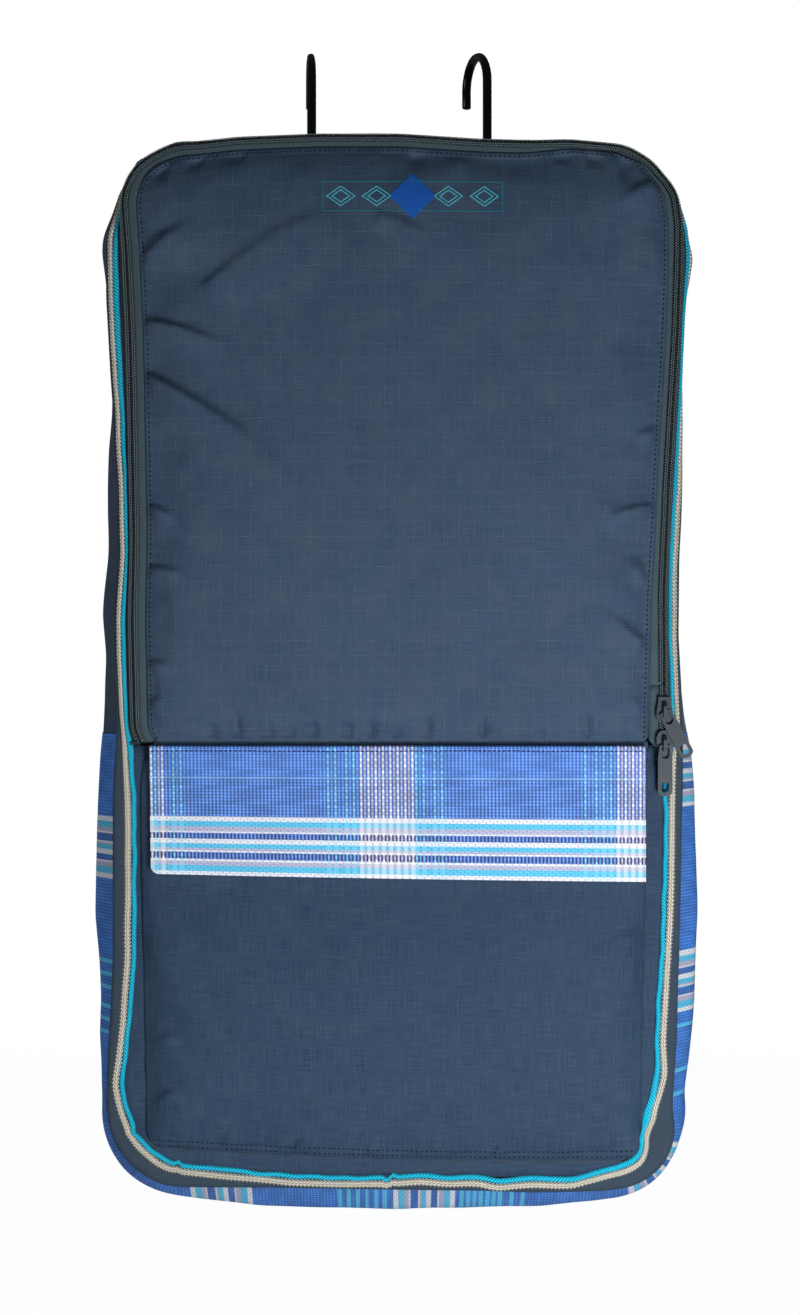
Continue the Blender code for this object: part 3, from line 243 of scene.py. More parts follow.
# Extra webbing that shows beyond the seam round the lower corners.
flare = along(
    (left, -600, 0, -640, 0.8), (low_left, 0, 1.8),
    (bottom, -130, 0.6, -80, 0, 0, 0, 50, 1.4, 80, 3, 120, 3), (low_right, 0, 3),
    (right, -640, 2, -580, 0.4, -500, 0), (top, 0, 0))
# The angle by which the bound edge is folded back, so that only its cord shows from the front.
bend = along(
    (right, -92, 1, -106, 1.5, -126, 1.5, -137, 1, -148, 1.2, -160, 1.6, -210, 1.6, -235, 1.1, -270, 0.5,
     -310, 0, -500, 0),
    (bottom, 0, 0), (left, -300, 0, -120, 0), (top_left, 0, 0.5), (top, -130, 0.2, 130, 0.2),
    (top_right, 0, 0.6),
    unit=1.0)
FOLD_INSET = 0.0055


def rim(s, inset, lift):
    """A point of the front's rim: place s, distance inside the seam, height off the sheet."""
    x, z, nx, nz = outline(s)
    below = smooth(ZIP_END_Z + 0.006, ZIP_END_Z - 0.016, z)
    turned = smooth(CHAIN_INSET - 0.0010 + 0.016 * below, 0.0035 + 0.0100 * below, inset)
    folded = np.maximum(FOLD_INSET - inset, 0.0)
    lean = turned * np.minimum(roll(s) / 0.0085, 1.0) * math.radians(82.0)
    out = chain_out(s) * (1.0 - turned) * smooth(0.110, 0.022, inset) + binding_out(s) * turned - inset
    out = out - folded * (1.0 - np.cos(bend(s))) + lift * np.sin(lean)
    depth = SHEET_Y + roll(s) * turned + folded * np.sin(bend(s)) - lift * np.cos(lean)
    return stacked(x + nx * out, depth, z + nz * out)


def face(x, z, lift):
    """A point of the front panels, which follow the zip where it is drawn outwards."""
    s, inset = nearest(x, z)
    _, _, nx, nz = outline(s)
    side_share = smooth(0.110, 0.022, HALF_WIDTH - np.abs(x))
    top_share = smooth(0.110, 0.022, TOP_Z - z)
    level = np.clip(z, HINGE_Z - 0.25, SHOULDER_Z)
    side_pull = chain_out(np.where(x < 0, left(level), right(level))) * side_share
    top_pull = chain_out(top(np.clip(x, -HALF_RUN, HALF_RUN))) * top_share
    both = np.maximum(np.hypot(side_share, top_share), 1.0)
    near = smooth(0.036, 0.013, inset)
    drawn_in = (0.0034 * smooth(0.105, 0.158, x) * smooth(-0.31, HINGE_Z, z)
                * smooth(HINGE_Z - 0.006, HINGE_Z - 0.003, z))
    raised = (0.0026 * smooth(0.070, 0.112, x) * smooth(0.172, 0.138, x)
              * smooth(TOP_Z - 0.060, TOP_Z - 0.024, z))
    shift_x = mixed(np.sign(x) * side_pull / both, nx * chain_out(s), near) - drawn_in
    shift_z = mixed(top_pull / both, nz * chain_out(s), near) + raised
    return stacked(x + shift_x, SHEET_Y - lift, z + shift_z)


# ---------------------------------------------------------------------------
# Mesh making
# ---------------------------------------------------------------------------

def new_object(name, points, faces, uv):
    """A smooth mesh object; uv lies in metres along the cloth."""
    mesh = bpy.data.meshes.new(name)
    mesh.from_pydata(np.asarray(points, float).reshape(-1, 3).tolist(), [], faces)
    loops = np.empty(len(mesh.loops), np.int32)
    mesh.loops.foreach_get("vertex_index", loops)
    uv = np.asarray(uv, np.float32).reshape(-1, 2)
    mesh.uv_layers.new(name="cloth").data.foreach_set("uv", uv[loops].ravel())
    mesh.shade_smooth()
    obj = bpy.data.objects.new(name, mesh)
    bpy.context.scene.collection.objects.link(obj)
    return obj


def grid_faces(rows, columns, wrap_rows=False, wrap_columns=False, offset=0):
    r, c = np.meshgrid(np.arange(rows if wrap_rows else rows - 1),
                       np.arange(columns if wrap_columns else columns - 1), indexing="ij")
    r1, c1 = (r + 1) % rows, (c + 1) % columns
    quads = stacked(r * columns + c, r * columns + c1, r1 * columns + c1, r1 * columns + c)
    return (quads.reshape(-1, 4) + offset).tolist()


def tube_faces(rows, ring, offset=0):
    """A closed tube: rows of ring points, and a face on each end."""
    last = offset + (rows - 1) * ring
    return (grid_faces(rows, ring, wrap_columns=True, offset=offset)
            + [list(range(offset, offset + ring))[::-1], list(range(last, last + ring))])


def grid_object(name, points, uv, wrap_rows=False, wrap_columns=False):
    return new_object(name, points, grid_faces(*points.shape[:2], wrap_rows, wrap_columns), uv)


def face_outwards(obj):
    bm = bmesh.new()
    bm.from_mesh(obj.data)
    bmesh.ops.recalc_face_normals(bm, faces=bm.faces)
    bm.to_mesh(obj.data)
    bm.free()
    return obj


def tubes(name, points, uv):
    """One object of many closed tubes: points are (tube, row, ring, xyz)."""
    count, rows, ring = points.shape[:3]
    faces = [face for index in range(count) for face in tube_faces(rows, ring, index * rows * ring)]
    return face_outwards(new_object(name, points, faces, uv))


def finish_piece(obj, material, body, replaces=()):
    obj.data.materials.clear()
    obj.data.materials.append(material)
    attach(obj, body)
    if replaces:
        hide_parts(*replaces)
    return obj


def solidify(obj, thickness, offset=-1.0):
    modifier = obj.modifiers.new("cloth_thickness", 'SOLIDIFY')
    modifier.thickness = thickness
    modifier.offset = offset
    return obj


def stations(start, end, step):
    return np.linspace(start, end, max(int(abs(end - start) / step), 2) + 1)


def strip(name, s, section, surface=rim, wrap=True):
    """Sweeps section(s), which gives insets and lifts across the strip, round the rim."""
    s = s[:, None]
    inset, lift = np.broadcast_arrays(*section(s))
    across = np.cumsum(np.hypot(np.diff(inset, axis=1, prepend=inset[:, :1]),
                                np.diff(lift, axis=1, prepend=lift[:, :1])), axis=1)
    points, uv = surface(s * np.ones_like(inset), inset, lift), stacked(across, s)
    if wrap:
        return face_outwards(grid_object(name, points, uv, True, True))
    return tubes(name, points[None], uv)


# ---------------------------------------------------------------------------
# Materials
# ---------------------------------------------------------------------------

def srgb(*levels):
    return tuple(((v / 255 + 0.055) / 1.055) ** 2.4 if v > 10 else v / 255 / 12.92 for v in levels) + (1.0,)


class Value:
    """A shader socket that takes part in sums and products."""

    def __init__(self, tree, socket):
        self.tree, self.socket = tree, socket

    def __add__(self, other):
        return self.tree.math('ADD', self, other)

    def __sub__(self, other):
        return self.tree.math('SUBTRACT', self, other)

    def __rsub__(self, other):
        return self.tree.math('SUBTRACT', other, self)

    def __mul__(self, other):
        return self.tree.math('MULTIPLY', self, other)

    def __truediv__(self, other):
        return self.tree.math('DIVIDE', self, other)

    def __pow__(self, other):
        return self.tree.math('POWER', self, other)


class NodeTree:
    """A node tree whose nodes are called up by type; inputs take numbers, sockets or Values."""

    def __init__(self, owner):
        owner.use_nodes = True
        self.tree = owner.node_tree

    def plug(self, socket, value):
        value = getattr(value, "socket", value)
        if isinstance(value, bpy.types.NodeSocket):
            self.tree.links.new(value, socket)
        else:
            socket.default_value = value

    def set(self, node, **inputs):
        for key, value in inputs.items():
            self.plug(node.inputs[key.replace("_", " ")], value)
        return node

    def node(self, kind, props=None, inputs=(), **named):
        node = self.tree.nodes.new("ShaderNode" + kind)
        for key, value in (props or {}).items():
            setattr(node, key, value)
        for index, value in inputs:
            self.plug(node.inputs[index], value)
        return self.set(node, **named)

    def math(self, operation, *values):
        return Value(self, self.node("Math", {"operation": operation}, enumerate(values)).outputs[0])


class Shader(NodeTree):
    """A Principled material on the cloth's own coordinates, or on the object's."""

    def __init__(self, name, roughness=0.7, on_object=False, **principled):
        self.material = bpy.data.materials.new(name)
        super().__init__(self.material)
        self.bsdf = self.tree.nodes["Principled BSDF"]
        self.set(self.bsdf, Roughness=roughness, **principled)
        if on_object:
            self.place = self.node("TexCoord").outputs["Object"]
            return
        self.place = self.node("UVMap", {"uv_map": "cloth"}).outputs[0]
        split = self.node("SeparateXYZ", Vector=self.place)
        self.u, self.v = Value(self, split.outputs[0]), Value(self, split.outputs[1])

    def noise(self, scale, detail=3.0, scale_v=None):
        """Noise of one scale, or drawn out along one direction where scale_v differs."""
        place = self.place
        if scale_v is not None:
            place = self.node("VectorMath", {"operation": 'MULTIPLY'},
                              ((0, place), (1, (scale, scale_v, 1.0)))).outputs[0]
            scale = 1.0
        return Value(self, self.node("TexNoise", Scale=scale, Detail=detail, Vector=place).outputs["Fac"])

    def mix(self, factor, first, second):
        return self.node("Mix", {"data_type": 'RGBA'}, ((0, factor), (6, first), (7, second))).outputs[2]

    def line(self, value, pitch, share):
        """1 on thin lines every pitch, each share of the pitch wide."""
        phase = self.math('PINGPONG', value, pitch / 2)
        return 1.0 - self.math('MINIMUM', phase / (pitch * share / 2), 1.0)

    def wave(self, value, pitch):
        return self.math('SINE', value * (2 * math.pi / pitch))

    def done(self, colour, height=None, distance=0.0, strength=0.6):
        self.set(self.bsdf, Base_Color=colour)
        if height is not None:
            bump = self.node("Bump", Strength=strength, Distance=distance, Height=height)
            self.set(self.bsdf, Normal=bump.outputs[0])
        return self.material


RIPSTOP_PITCH = 0.0091
RIPSTOP_LINE = 0.075                    # share of the pitch


def ripstop(name, first, second, warm, grid):
    """Plain-woven cloth with slubs and a faint, broken grid of heavier threads."""
    sh = Shader(name, 0.6, Sheen_Weight=0.06, Sheen_Roughness=0.4, Specular_IOR_Level=0.14)
    wobble = (sh.noise(60.0, 1.0) - 0.5) * 0.0012
    lines = sh.math('MAXIMUM', *(sh.line(run + wobble, RIPSTOP_PITCH, RIPSTOP_LINE) for run in (sh.u, sh.v)))
    lines = lines * (sh.noise(160.0) ** 3.0 * 7.0)
    slub = sh.noise(2200.0, 2.0, 60.0) + sh.noise(60.0, 2.0, 2200.0)
    colour = sh.mix(sh.noise(16.0), srgb(*first), srgb(*second))
    colour = sh.mix(sh.noise(47.0, 2.0) ** 3.0 * 1.3, colour, srgb(*warm))
    colour = sh.mix(lines * grid, colour, srgb(118, 138, 158))
    colour = sh.mix((slub - 0.75) * 0.45, colour, srgb(92, 108, 128))
    weave = sh.wave(sh.u, 0.00055) * sh.wave(sh.v, 0.00055)
    return sh.done(colour, weave * 0.3 + slub + lines * 0.9, 0.00022)


def tape_cloth(name, first, second):
    """Twill tape: zigzag rows."""
    sh = Shader(name, 0.85, Specular_IOR_Level=0.08)
    rows = sh.wave(sh.v + sh.math('PINGPONG', sh.u, 0.0012), 0.00085)
    colour = sh.mix(sh.noise(90.0), srgb(*first), srgb(*second))
    colour = sh.mix((rows + 1.0) * 0.17, colour, srgb(120, 135, 138))
    return sh.done(colour, rows + sh.noise(900.0, 2.0), 0.00012)


def thread(name, first, second, pitch, slant=1.4):
    """Braided or corded trim: diagonal strands, with painted shade in the darker colour between them, and
    random darker patches.
    """
    sh = Shader(name, 0.7, Sheen_Weight=0.05, Specular_IOR_Level=0.2)
    phase = sh.v + sh.u * slant + 0.1 * pitch
    strands = sh.math('ABSOLUTE', sh.wave(phase, 2 * pitch))
    # Painted shade: the colour falls to the darker second colour in the hollows between the strands.
    colour = sh.mix(1.0 - strands, srgb(*first), srgb(*second))
    colour = sh.mix(sh.noise(35.0) * 0.22, colour, srgb(*second))
    return sh.done(colour, strands + sh.noise(1600.0, 3.0, 700.0), 0.00025)


def plain(name, first, second, scale, roughness, bump=0.0001, **principled):
    """Painted, plated or moulded surface with a faint unevenness."""
    sh = Shader(name, on_object=True, **principled)
    grain = sh.noise(scale, 4.0)
    spread = sh.node("MapRange", Value=sh.noise(scale * 9), To_Min=roughness * 0.8,
                     To_Max=min(roughness * 1.25, 1.0))
    sh.set(sh.bsdf, Roughness=spread.outputs[0])
    return sh.done(sh.mix(grain, srgb(*first), srgb(*second)), grain, bump, 0.3)


NAVY = ripstop("navy_ripstop", (34, 54, 78), (46, 67, 91), (60, 72, 86), 0.11)
# A bluer, darker copy of the navy ripstop for the pocket and the lower panel; its extra darkness is painted
# shade.
NAVY_BLUER_SHADED = ripstop("navy_ripstop_bluer_painted_shade", (17, 41, 66), (28, 52, 77), (37, 57, 77), 0.05)
TAPE = tape_cloth("zip_tape", (36, 54, 64), (50, 70, 78))
# Painted shade: a near-black copy of the zip tape for the shade beside the chain on the bag's half.
TAPE_PAINTED_SHADE = tape_cloth("zip_tape_painted_shade", (14, 22, 30), (24, 36, 46))
TWILL = tape_cloth("navy_webbing", (6, 22, 44), (18, 40, 66))
TAN_PITCH, CYAN_PITCH = 0.0024, 0.0020          # of the strands in the trims
TAN = thread("tan_braid", (212, 206, 190), (46, 46, 50), TAN_PITCH, 1.2)
CYAN = thread("cyan_cord", (14, 196, 226), (0, 66, 108), CYAN_PITCH, 0.8)
COIL = plain("zip_coil", (6, 10, 12), (14, 22, 26), 900.0, 0.36, Specular_IOR_Level=0.45)
BEAD = plain("zip_thread", (72, 88, 94), (106, 122, 128), 700.0, 0.6, Specular_IOR_Level=0.2)
ZINC = plain("dark_zinc", (22, 34, 42), (34, 48, 57), 300.0, 0.42, Metallic=0.1, Specular_IOR_Level=0.3)
ENAMEL = plain("black_enamel", (5, 5, 6), (10, 10, 11), 60.0, 0.16, Specular_IOR_Level=0.25)
STEEL = plain("plated_steel", (170, 172, 170), (196, 198, 196), 500.0, 0.34, Metallic=1.0)
BOARD = plain("board", (150, 122, 88), (176, 148, 110), 40.0, 0.7)
CLOSURE = plain("hook_and_loop", (20, 26, 38), (32, 40, 54), 1500.0, 0.95, 0.0006)
STITCH = thread("navy_thread", (16, 26, 44), (8, 14, 28), 0.0009)
TEAL = thread("teal_thread", (40, 128, 146), (22, 84, 104), 0.0008)
BLUE_THREAD = thread("blue_thread", (12, 104, 204), (6, 66, 160), 0.0008)
SILVER = thread("silver_thread", (96, 204, 222), (44, 134, 160), 0.0008)
FLAP_THREAD = thread("flap_thread", (26, 34, 96), (14, 18, 60), 0.0009)


def mesh_cloth(name):
    """Open plaid mesh: cords coloured thread by thread, with a fine twist along each."""
    sh = Shader(name, 0.6, Specular_IOR_Level=0.12)
    painted = sh.node("VertexColor", {"layer_name": "plaid"}).outputs[0]
    fibre = sh.noise(2600.0, 3.0, 1500.0)
    colour = sh.mix(fibre * 0.10, painted, srgb(220, 232, 255))
    colour = sh.mix(sh.noise(28.0, 2.0) * 0.22, colour, srgb(24, 56, 130))
    return sh.done(colour, sh.wave(sh.v + sh.u * 0.7, 0.0007) + fibre, 0.00012)


MESH_CLOTH = mesh_cloth("plaid_mesh")

# ---- Plaid ----
(ROYAL, CROSS, SLOT_SHADE, GUSSET_BLUE, GUSSET_CROSS, PALE_SKY, BACKED, LIGHT_ROW, WHITE, SKY, LAVENDER, DEEP) = (
    np.array(srgb(*tone)[:3]) for tone in (
        (106, 158, 238), (60, 112, 206), (10, 20, 92), (66, 150, 244), (32, 100, 206), (136, 218, 250),
        (36, 92, 190), (120, 176, 236), (246, 247, 250), (84, 206, 242), (192, 190, 212), (26, 30, 122)))


def stripes(position, layout, base):
    """Colour and share of each thread by its place: layout is (start, end, colour, share)."""
    colour = np.tile(base, position.shape + (1,))
    weight = np.zeros(position.shape + (1,))
    for start, end, tone, share in layout:
        inside = (position >= start) & (position < end)
        colour[inside], weight[inside] = tone, share
    return colour, weight


def paint(obj, colours):
    rgba = np.ones((len(obj.data.vertices), 4), np.float32)
    rgba[:, :3] = colours.reshape(-1, 3)
    obj.data.color_attributes.new("plaid", 'FLOAT_COLOR', 'POINT').data.foreach_set("color", rgba.ravel())
    return obj


# ---------------------------------------------------------------------------
# Carried-over CAD parts: better finishes
# ---------------------------------------------------------------------------

for finish, names in (
        (STEEL, ("left_hook_washer", "right_hook_washer", "left_hook_nut", "right_hook_nut", "left_grommet",
                 "right_grommet", "bridle_hook", "swivel_bolt", "swivel_nut")),
        (ZINC, ("lower_slider", "upper_slider", "lower_pull_tab", "upper_pull_tab", "left_zip_stop",
                "right_zip_stop")),
        (CLOSURE, ("pocket_loop_strip", "flap_hook_strip"))):
    for node_name in names:
        NODES[node_name].data.materials.clear()
        NODES[node_name].data.materials.append(finish)

TIP_LENGTH = 0.010              # straight end of each hanging hook, below its crown
TIP_ROUND = 0.001


def build_hook(side):
    """A round rod up from its nut, over the crown and down to a rounded tip."""
    low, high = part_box(side + "_hook")
    pivot = PIVOTS[side + "_hook_swivel"]
    radius = high.x - pivot[0]
    reach_x, reach_y = high.x - low.x - 2 * radius, high.y - low.y - 2 * radius
    crown = math.hypot(reach_x, reach_y) / 2
    arc_z = high.z - radius - crown
    turn = np.linspace(math.pi, 0.0, 40)[1:]
    end = np.array([0.0, 0.35, 0.7, 0.9, 0.99])
    run = np.concatenate([np.zeros(12), crown + crown * np.cos(turn), np.full(5, 2 * crown)])
    rise = np.concatenate([np.linspace(low.z + 0.0004, arc_z, 12), arc_z + crown * np.sin(turn),
                           arc_z - TIP_LENGTH - TIP_ROUND * end])
    thick = radius * np.concatenate([np.ones(51), np.sqrt(1.0 - (end * 0.8) ** 2)])[:, None]
    ways = np.gradient(stacked(run, rise), axis=0)
    ways /= np.hypot(*ways.T)[:, None]
    ring = np.arange(24) * 2 * math.pi / 24
    way = Vector((-reach_x, reach_y, 0.0)).normalized()
    outward, aside = thick * np.cos(ring), thick * np.sin(ring)
    level = run[:, None] + outward * ways[:, 1:2]
    points = stacked(pivot[0] + level * way.x - aside * way.y, pivot[1] + level * way.y + aside * way.x,
                     rise[:, None] - outward * ways[:, 0:1])
    uv = stacked((np.arange(len(run)) * 0.002)[:, None], ring * radius)
    rod = tubes(side + "_hook_rod", points[None], uv)
    finish_piece(rod, ENAMEL, side + "_hanging_hook", (side + "_hook",))


for hook_side in ("left", "right"):
    build_hook(hook_side)

# ---------------------------------------------------------------------------
# Door, pocket and base panel
# ---------------------------------------------------------------------------

def panel_grid(x0, x1, z0, z1, top_radius, bottom_radius, step):
    """A grid squeezed into a rectangle with rounded corners: rows go up, columns go right."""
    x, z = np.meshgrid(np.linspace(x0, x1, int(round((x1 - x0) / step)) + 1),
                       np.linspace(z0, z1, int(round((z1 - z0) / step)) + 1))
    half, middle = (x1 - x0) / 2, (x0 + x1) / 2
    for radius, edge_z, way in ((top_radius, z1, 1.0), (bottom_radius, z0, -1.0)):
        if radius > 0.0:
            drop = np.clip((z - edge_z) * way + radius, 0.0, radius)
            pull = radius - np.sqrt(np.maximum(radius ** 2 - drop ** 2, 0.0))
            near = smooth(0.55, 1.0, np.abs((x - middle) / half))
            x = middle + (x - middle) * (1.0 - pull / half * near)
    return x, z


def edge_distance(x, z, x0, x1, z0, z1, top_radius, bottom_radius):
    """How far inside a rounded rectangle each point lies, and 0 outside it."""
    radius = np.where(z > (z0 + z1) / 2, top_radius, bottom_radius)
    dx = np.abs(x - (x0 + x1) / 2) - ((x1 - x0) / 2 - radius)
    dz = np.abs(z - (z0 + z1) / 2) - ((z1 - z0) / 2 - radius)
    outside = np.hypot(np.maximum(dx, 0.0), np.maximum(dz, 0.0)) + np.minimum(np.maximum(dx, dz), 0.0)
    return np.maximum(radius - outside, 0.0)


SIM_FRAMES = 14
CLOTH_SETTINGS = {"quality": 6, "mass": 0.01, "tension_stiffness": 25.0, "compression_stiffness": 25.0,
                  "shear_stiffness": 8.0, "bending_stiffness": 0.4, "air_damping": 4.0,
                  "use_pressure": True, "uniform_pressure_force": 2.0, "vertex_group_mass": "sewn"}


def puffed(points, uv, sewn, cut, limit):
    """Puffs a sewn-down sheet, cut slightly larger than its frame, by at most limit."""
    sheet = grid_object("sheet", points, uv)
    sheet.vertex_groups.new(name="sewn").add(np.flatnonzero(sewn).tolist(), 1.0, 'REPLACE')
    sheet.shape_key_add(name="Basis")
    key = sheet.shape_key_add(name="cut")
    key.data.foreach_set("co", cut.astype(np.float32).ravel())
    modifier = sheet.modifiers.new("cloth", 'CLOTH')
    for name, value in CLOTH_SETTINGS.items():
        setattr(modifier.settings, name, value)
    modifier.settings.effector_weights.gravity = 0.0
    modifier.settings.rest_shape_key = key
    modifier.collision_settings.use_collision = False
    modifier.point_cache.frame_start = 1
    modifier.point_cache.frame_end = SIM_FRAMES
    scene = bpy.context.scene
    for number in range(1, SIM_FRAMES + 1):
        scene.frame_set(number)
    result = sheet.evaluated_get(bpy.context.evaluated_depsgraph_get()).data
    moved = np.empty(points.size, np.float32)
    result.vertices.foreach_get("co", moved)
    bpy.data.objects.remove(sheet)
    scene.frame_set(1)
    step = moved.reshape(points.shape) - points
    length = np.linalg.norm(step, axis=-1, keepdims=True)
    return points + step * np.minimum(1.0, limit / np.maximum(length, 1e-9))


DOOR_CLEAR = 0.0006                         # fold line of the door above the hinge seam
DOOR_LEFT, DOOR_RIGHT, DOOR_TOP = door_low.x + 0.0014, door_high.x, door_high.z
DOOR_LOW = HINGE_Z + DOOR_CLEAR
DOOR_RADIUS = CORNER_RADIUS - (HALF_WIDTH - door_high.x)
HINGE_LIFT = SHEET_Y - PIVOTS["door_hinge"][1]
SEW = 0.0029                                # from the folded edge of a panel to its topstitching
GROWN_X, GROWN_Z = 1.016, 1.014             # how much larger a puffed panel is cut


def creases(x, z, folds):
    """Drag folds, steep above and easy below: each runs from a seam to where it dies out (mm)."""
    total = np.zeros_like(x)
    for x0, z0, x1, z1, width, height in np.array(folds) * MM:
        run = math.hypot(x1 - x0, z1 - z0)
        ux, uz = (x1 - x0) / run, (z1 - z0) / run
        t = ((x - x0) * ux + (z - z0) * uz) / run
        above = ((z - z0) * ux - (x - x0) * uz) * (1.0 if ux > 0 else -1.0)
        above = above - 0.05 * run * np.sin(math.pi * np.clip(t, 0.0, 1.0))
        spread = width * (0.5 + 0.7 * np.clip(t, 0.0, 1.0)) * np.where(above > 0, 0.50, 2.0)
        total += 3.0 * height * bell(above, spread) * smooth(-0.12, 0.06, t) * smooth(1.05, 0.45, t)
    return total


def filled(x, z, sides, depth, seed):
    """Padding behind a stitched edge: sides gives (distance inside, reach) for each edge."""
    total = depth * np.ones_like(x)
    for index, (distance, reach) in enumerate(sides):
        gather = 1.0 + 0.75 * value_noise(x, z, 30.0, seed + 3.3 * index)
        gather = np.clip(gather + 0.4 * value_noise(x, z, 70.0, seed + index), 0.35, 2.0)
        total *= 1.0 - np.exp(-np.clip(distance - SEW, 0.0, None) / (reach * gather))
    return total


def seam_edge(edge):
    """The folded edge of a panel and the groove that its topstitching pulls in."""
    return 0.0016 * np.sqrt(np.clip(edge / 0.0012, 0.0, 1.0)) - 0.0011 * bell(edge - SEW, 0.0008)


def puckers(run, edge, seed):
    """Small gathers that the topstitching draws into the cloth beside a seam."""
    share = smooth(SEW * 0.6, SEW + 0.0010, edge) * smooth(0.0125, SEW + 0.0015, edge)
    uneven = 0.6 + 0.9 * value_noise(run, edge * 0.3, 45.0, seed)
    return 0.00050 * np.sin(2 * math.pi * (run + 0.25 * edge) / 0.0062) * uneven * share


def ripple(x, z, coarse, fine, seed):
    """The cloth's gentle unevenness between its seams."""
    return 0.0018 * value_noise(x, z, coarse, seed) + 0.0008 * value_noise(x, z, fine, seed + 2.4)


def finer(grid):
    """A grid of points with one more point between each two, eased over."""
    for axis in (0, 1):
        grid = np.moveaxis(grid, axis, 0)
        denser = np.empty((2 * len(grid) - 1,) + grid.shape[1:])
        denser[::2], denser[1::2] = grid, (grid[:-1] + grid[1:]) / 2
        denser[1:-1] = denser[1:-1] * 0.5 + (denser[:-2] + denser[2:]) * 0.25
        grid = np.moveaxis(denser, 0, axis)
    return grid


def closed_panel(name, front, back, uv):
    """Joins a front grid and a back grid of the same size along their borders."""
    rows, columns = front.shape[:2]
    count = rows * columns
    faces = grid_faces(rows, columns) + [face[::-1] for face in grid_faces(rows, columns, offset=count)]
    ids = np.arange(count).reshape(rows, columns)
    border = np.concatenate([ids[0], ids[1:, -1], ids[-1, -2::-1], ids[-2:0:-1, 0]]).tolist()
    for a, b in zip(border, border[1:] + border[:1]):
        faces.append([a, a + count, b + count, b])
    return face_outwards(new_object(name, np.stack([front, back]), faces, np.stack([uv, uv])))


# Folds: x and z of their start at a seam, x and z of their end, width, height (mm).
DOOR_FOLDS = (
    (-156, -140, -118, -120, 7, 1.6), (-156, -176, -103, -196, 6, 1.8), (-156, -208, -62, -284, 8.5, 2.1),
    (-156, -290, -136, -300, 4.5, 1.5), (-156, -329, -128, -334, 4.2, 1.3),
    (-156, -386, -138, -392, 4.2, 1.5), (-156, -410, -129, -419, 5, 1.6), (-115, -156, -34, -116, 10, 1.6),
    (-12, -119, 20, -133, 6, 1), (156, -93, 127, -112, 6, 1.4), (157, -243, 139, -250, 4.5, 1.2),
    (154, -290, 124, -300, 5.5, 1.4), (152, -374, 112, -356, 7.5, 1.8), (152, -338, 143, -321, 4, 1.2),
    (150, -412, 108, -404, 6, 1.2),
)
TOP_PULLS = (
    (-150, -74, -138, -96, 5, 1.4), (-124, -72, -120, -90, 4.2, 1.1), (-100, -71, -96, -88, 4.5, 1.2),
    (-72, -71, -74, -84, 4, 0.9), (-30, -70, -30, -85, 4.2, 1.2), (-8, -70, -10, -86, 4.2, 1),
    (10, -70, 8, -96, 4.8, 1.2), (32, -70, 30, -84, 4.2, 1.1), (100, -74, 96, -88, 4.2, 1.1),
    (119, -75, 114, -90, 4, 1), (138, -79, 130, -98, 4.8, 1.2),
)
HINGE_PLEATS = (-114, -99, -78, -66, -51, -31, -19, -4, 18, 50, 85, 117)
POCKET_FOLDS = (
    (-148, -518, -102, -572, 9, 2), (-70, -520, -23, -562, 9, 1.8), (-152, -560, -110, -630, 10, 1.3),
    (146, -550, 115, -570, 6, 1), (-68, -686, -52, -672, 4.8, 1.2), (55, -688, 72, -674, 4.8, 1.2),
    (-110, -686, -104, -670, 4.2, 1), (-20, -688, -15, -674, 4, 0.9), (15, -688, 12, -676, 4, 0.9),
    (108, -690, 102, -674, 4.2, 1), (-152, -620, -138, -616, 4, 0.9), (-152, -656, -136, -648, 4.4, 1),
)


def settle(points, room, valleys=0.0, floor=0.0004):
    """Presses a panel's front softly into the room before it; valleys are drawn in afterwards."""
    lift = SHEET_Y - points[..., 1]
    ease = 0.0025
    over = np.maximum(lift - (room - ease), 0.0)
    lift = np.minimum(lift, room - ease) + ease * (1.0 - np.exp(-over / ease)) - valleys
    points[..., 1] = SHEET_Y - np.maximum(lift, floor)
    return points


def build_door():
    bounds = (DOOR_LEFT, DOOR_RIGHT, DOOR_LOW, DOOR_TOP, DOOR_RADIUS, 0.004)
    x, z = panel_grid(*bounds, 0.0036)
    edge = edge_distance(x, z, *bounds)
    cut = face(x * GROWN_X, HINGE_Z + (z - HINGE_Z) * GROWN_Z, 0.0016)
    cut[..., 1] += 0.0014 * value_noise(x, z, 30.0, 9.1)
    moved = finer(puffed(face(x, z, 0.0004 + 0.0016 * smooth(0.0, 0.003, edge)), stacked(x, z),
                         edge < SEW + 0.0006, cut, 0.0052))
    x, z, edge = finer(x), finer(z), finer(edge)
    top_gap, side_gap = DOOR_TOP - z, np.minimum(x - DOOR_LEFT, DOOR_RIGHT - x)
    pad = filled(x, z, ((np.minimum(edge, side_gap), 0.0080), (np.minimum(edge, top_gap), 0.0130),
                        (z - DOOR_LOW, 0.0075)), 0.0074, 3.7)
    low = DOOR_LOW / MM
    pleats = tuple((at, low, at + 2.5 * math.sin(0.9 * at), low + 17.0 + 7.0 * math.sin(0.5 * at), 2.8, 1.5)
                   for at in HINGE_PLEATS)
    inner = smooth(0.0020, 0.0060, edge)
    uneven = (creases(x, z, DOOR_FOLDS) + ripple(x, z, 15.0, 42.0, 5.5)) * inner
    run, sewn_edge = np.where(side_gap < top_gap, z, x), np.minimum(edge, z - DOOR_LOW + 0.02)
    moved[..., 1] -= seam_edge(edge) + pad + uneven + puckers(run, sewn_edge, 61.0)
    room = np.minimum(HINGE_LIFT - 0.0016 + 0.075 * (z - HINGE_Z), 0.0185)
    moved = settle(moved, room, creases(x, z, TOP_PULLS + pleats) * inner)
    back = face(x * 0.996, z, 0.0)
    back[..., 1] = SHEET_Y + 0.0020
    return closed_panel("door_panel", moved, back, stacked(x, z))


door = build_door()
finish_piece(door, NAVY, "door", ("door_shell", "door_padding", "door_lining"))

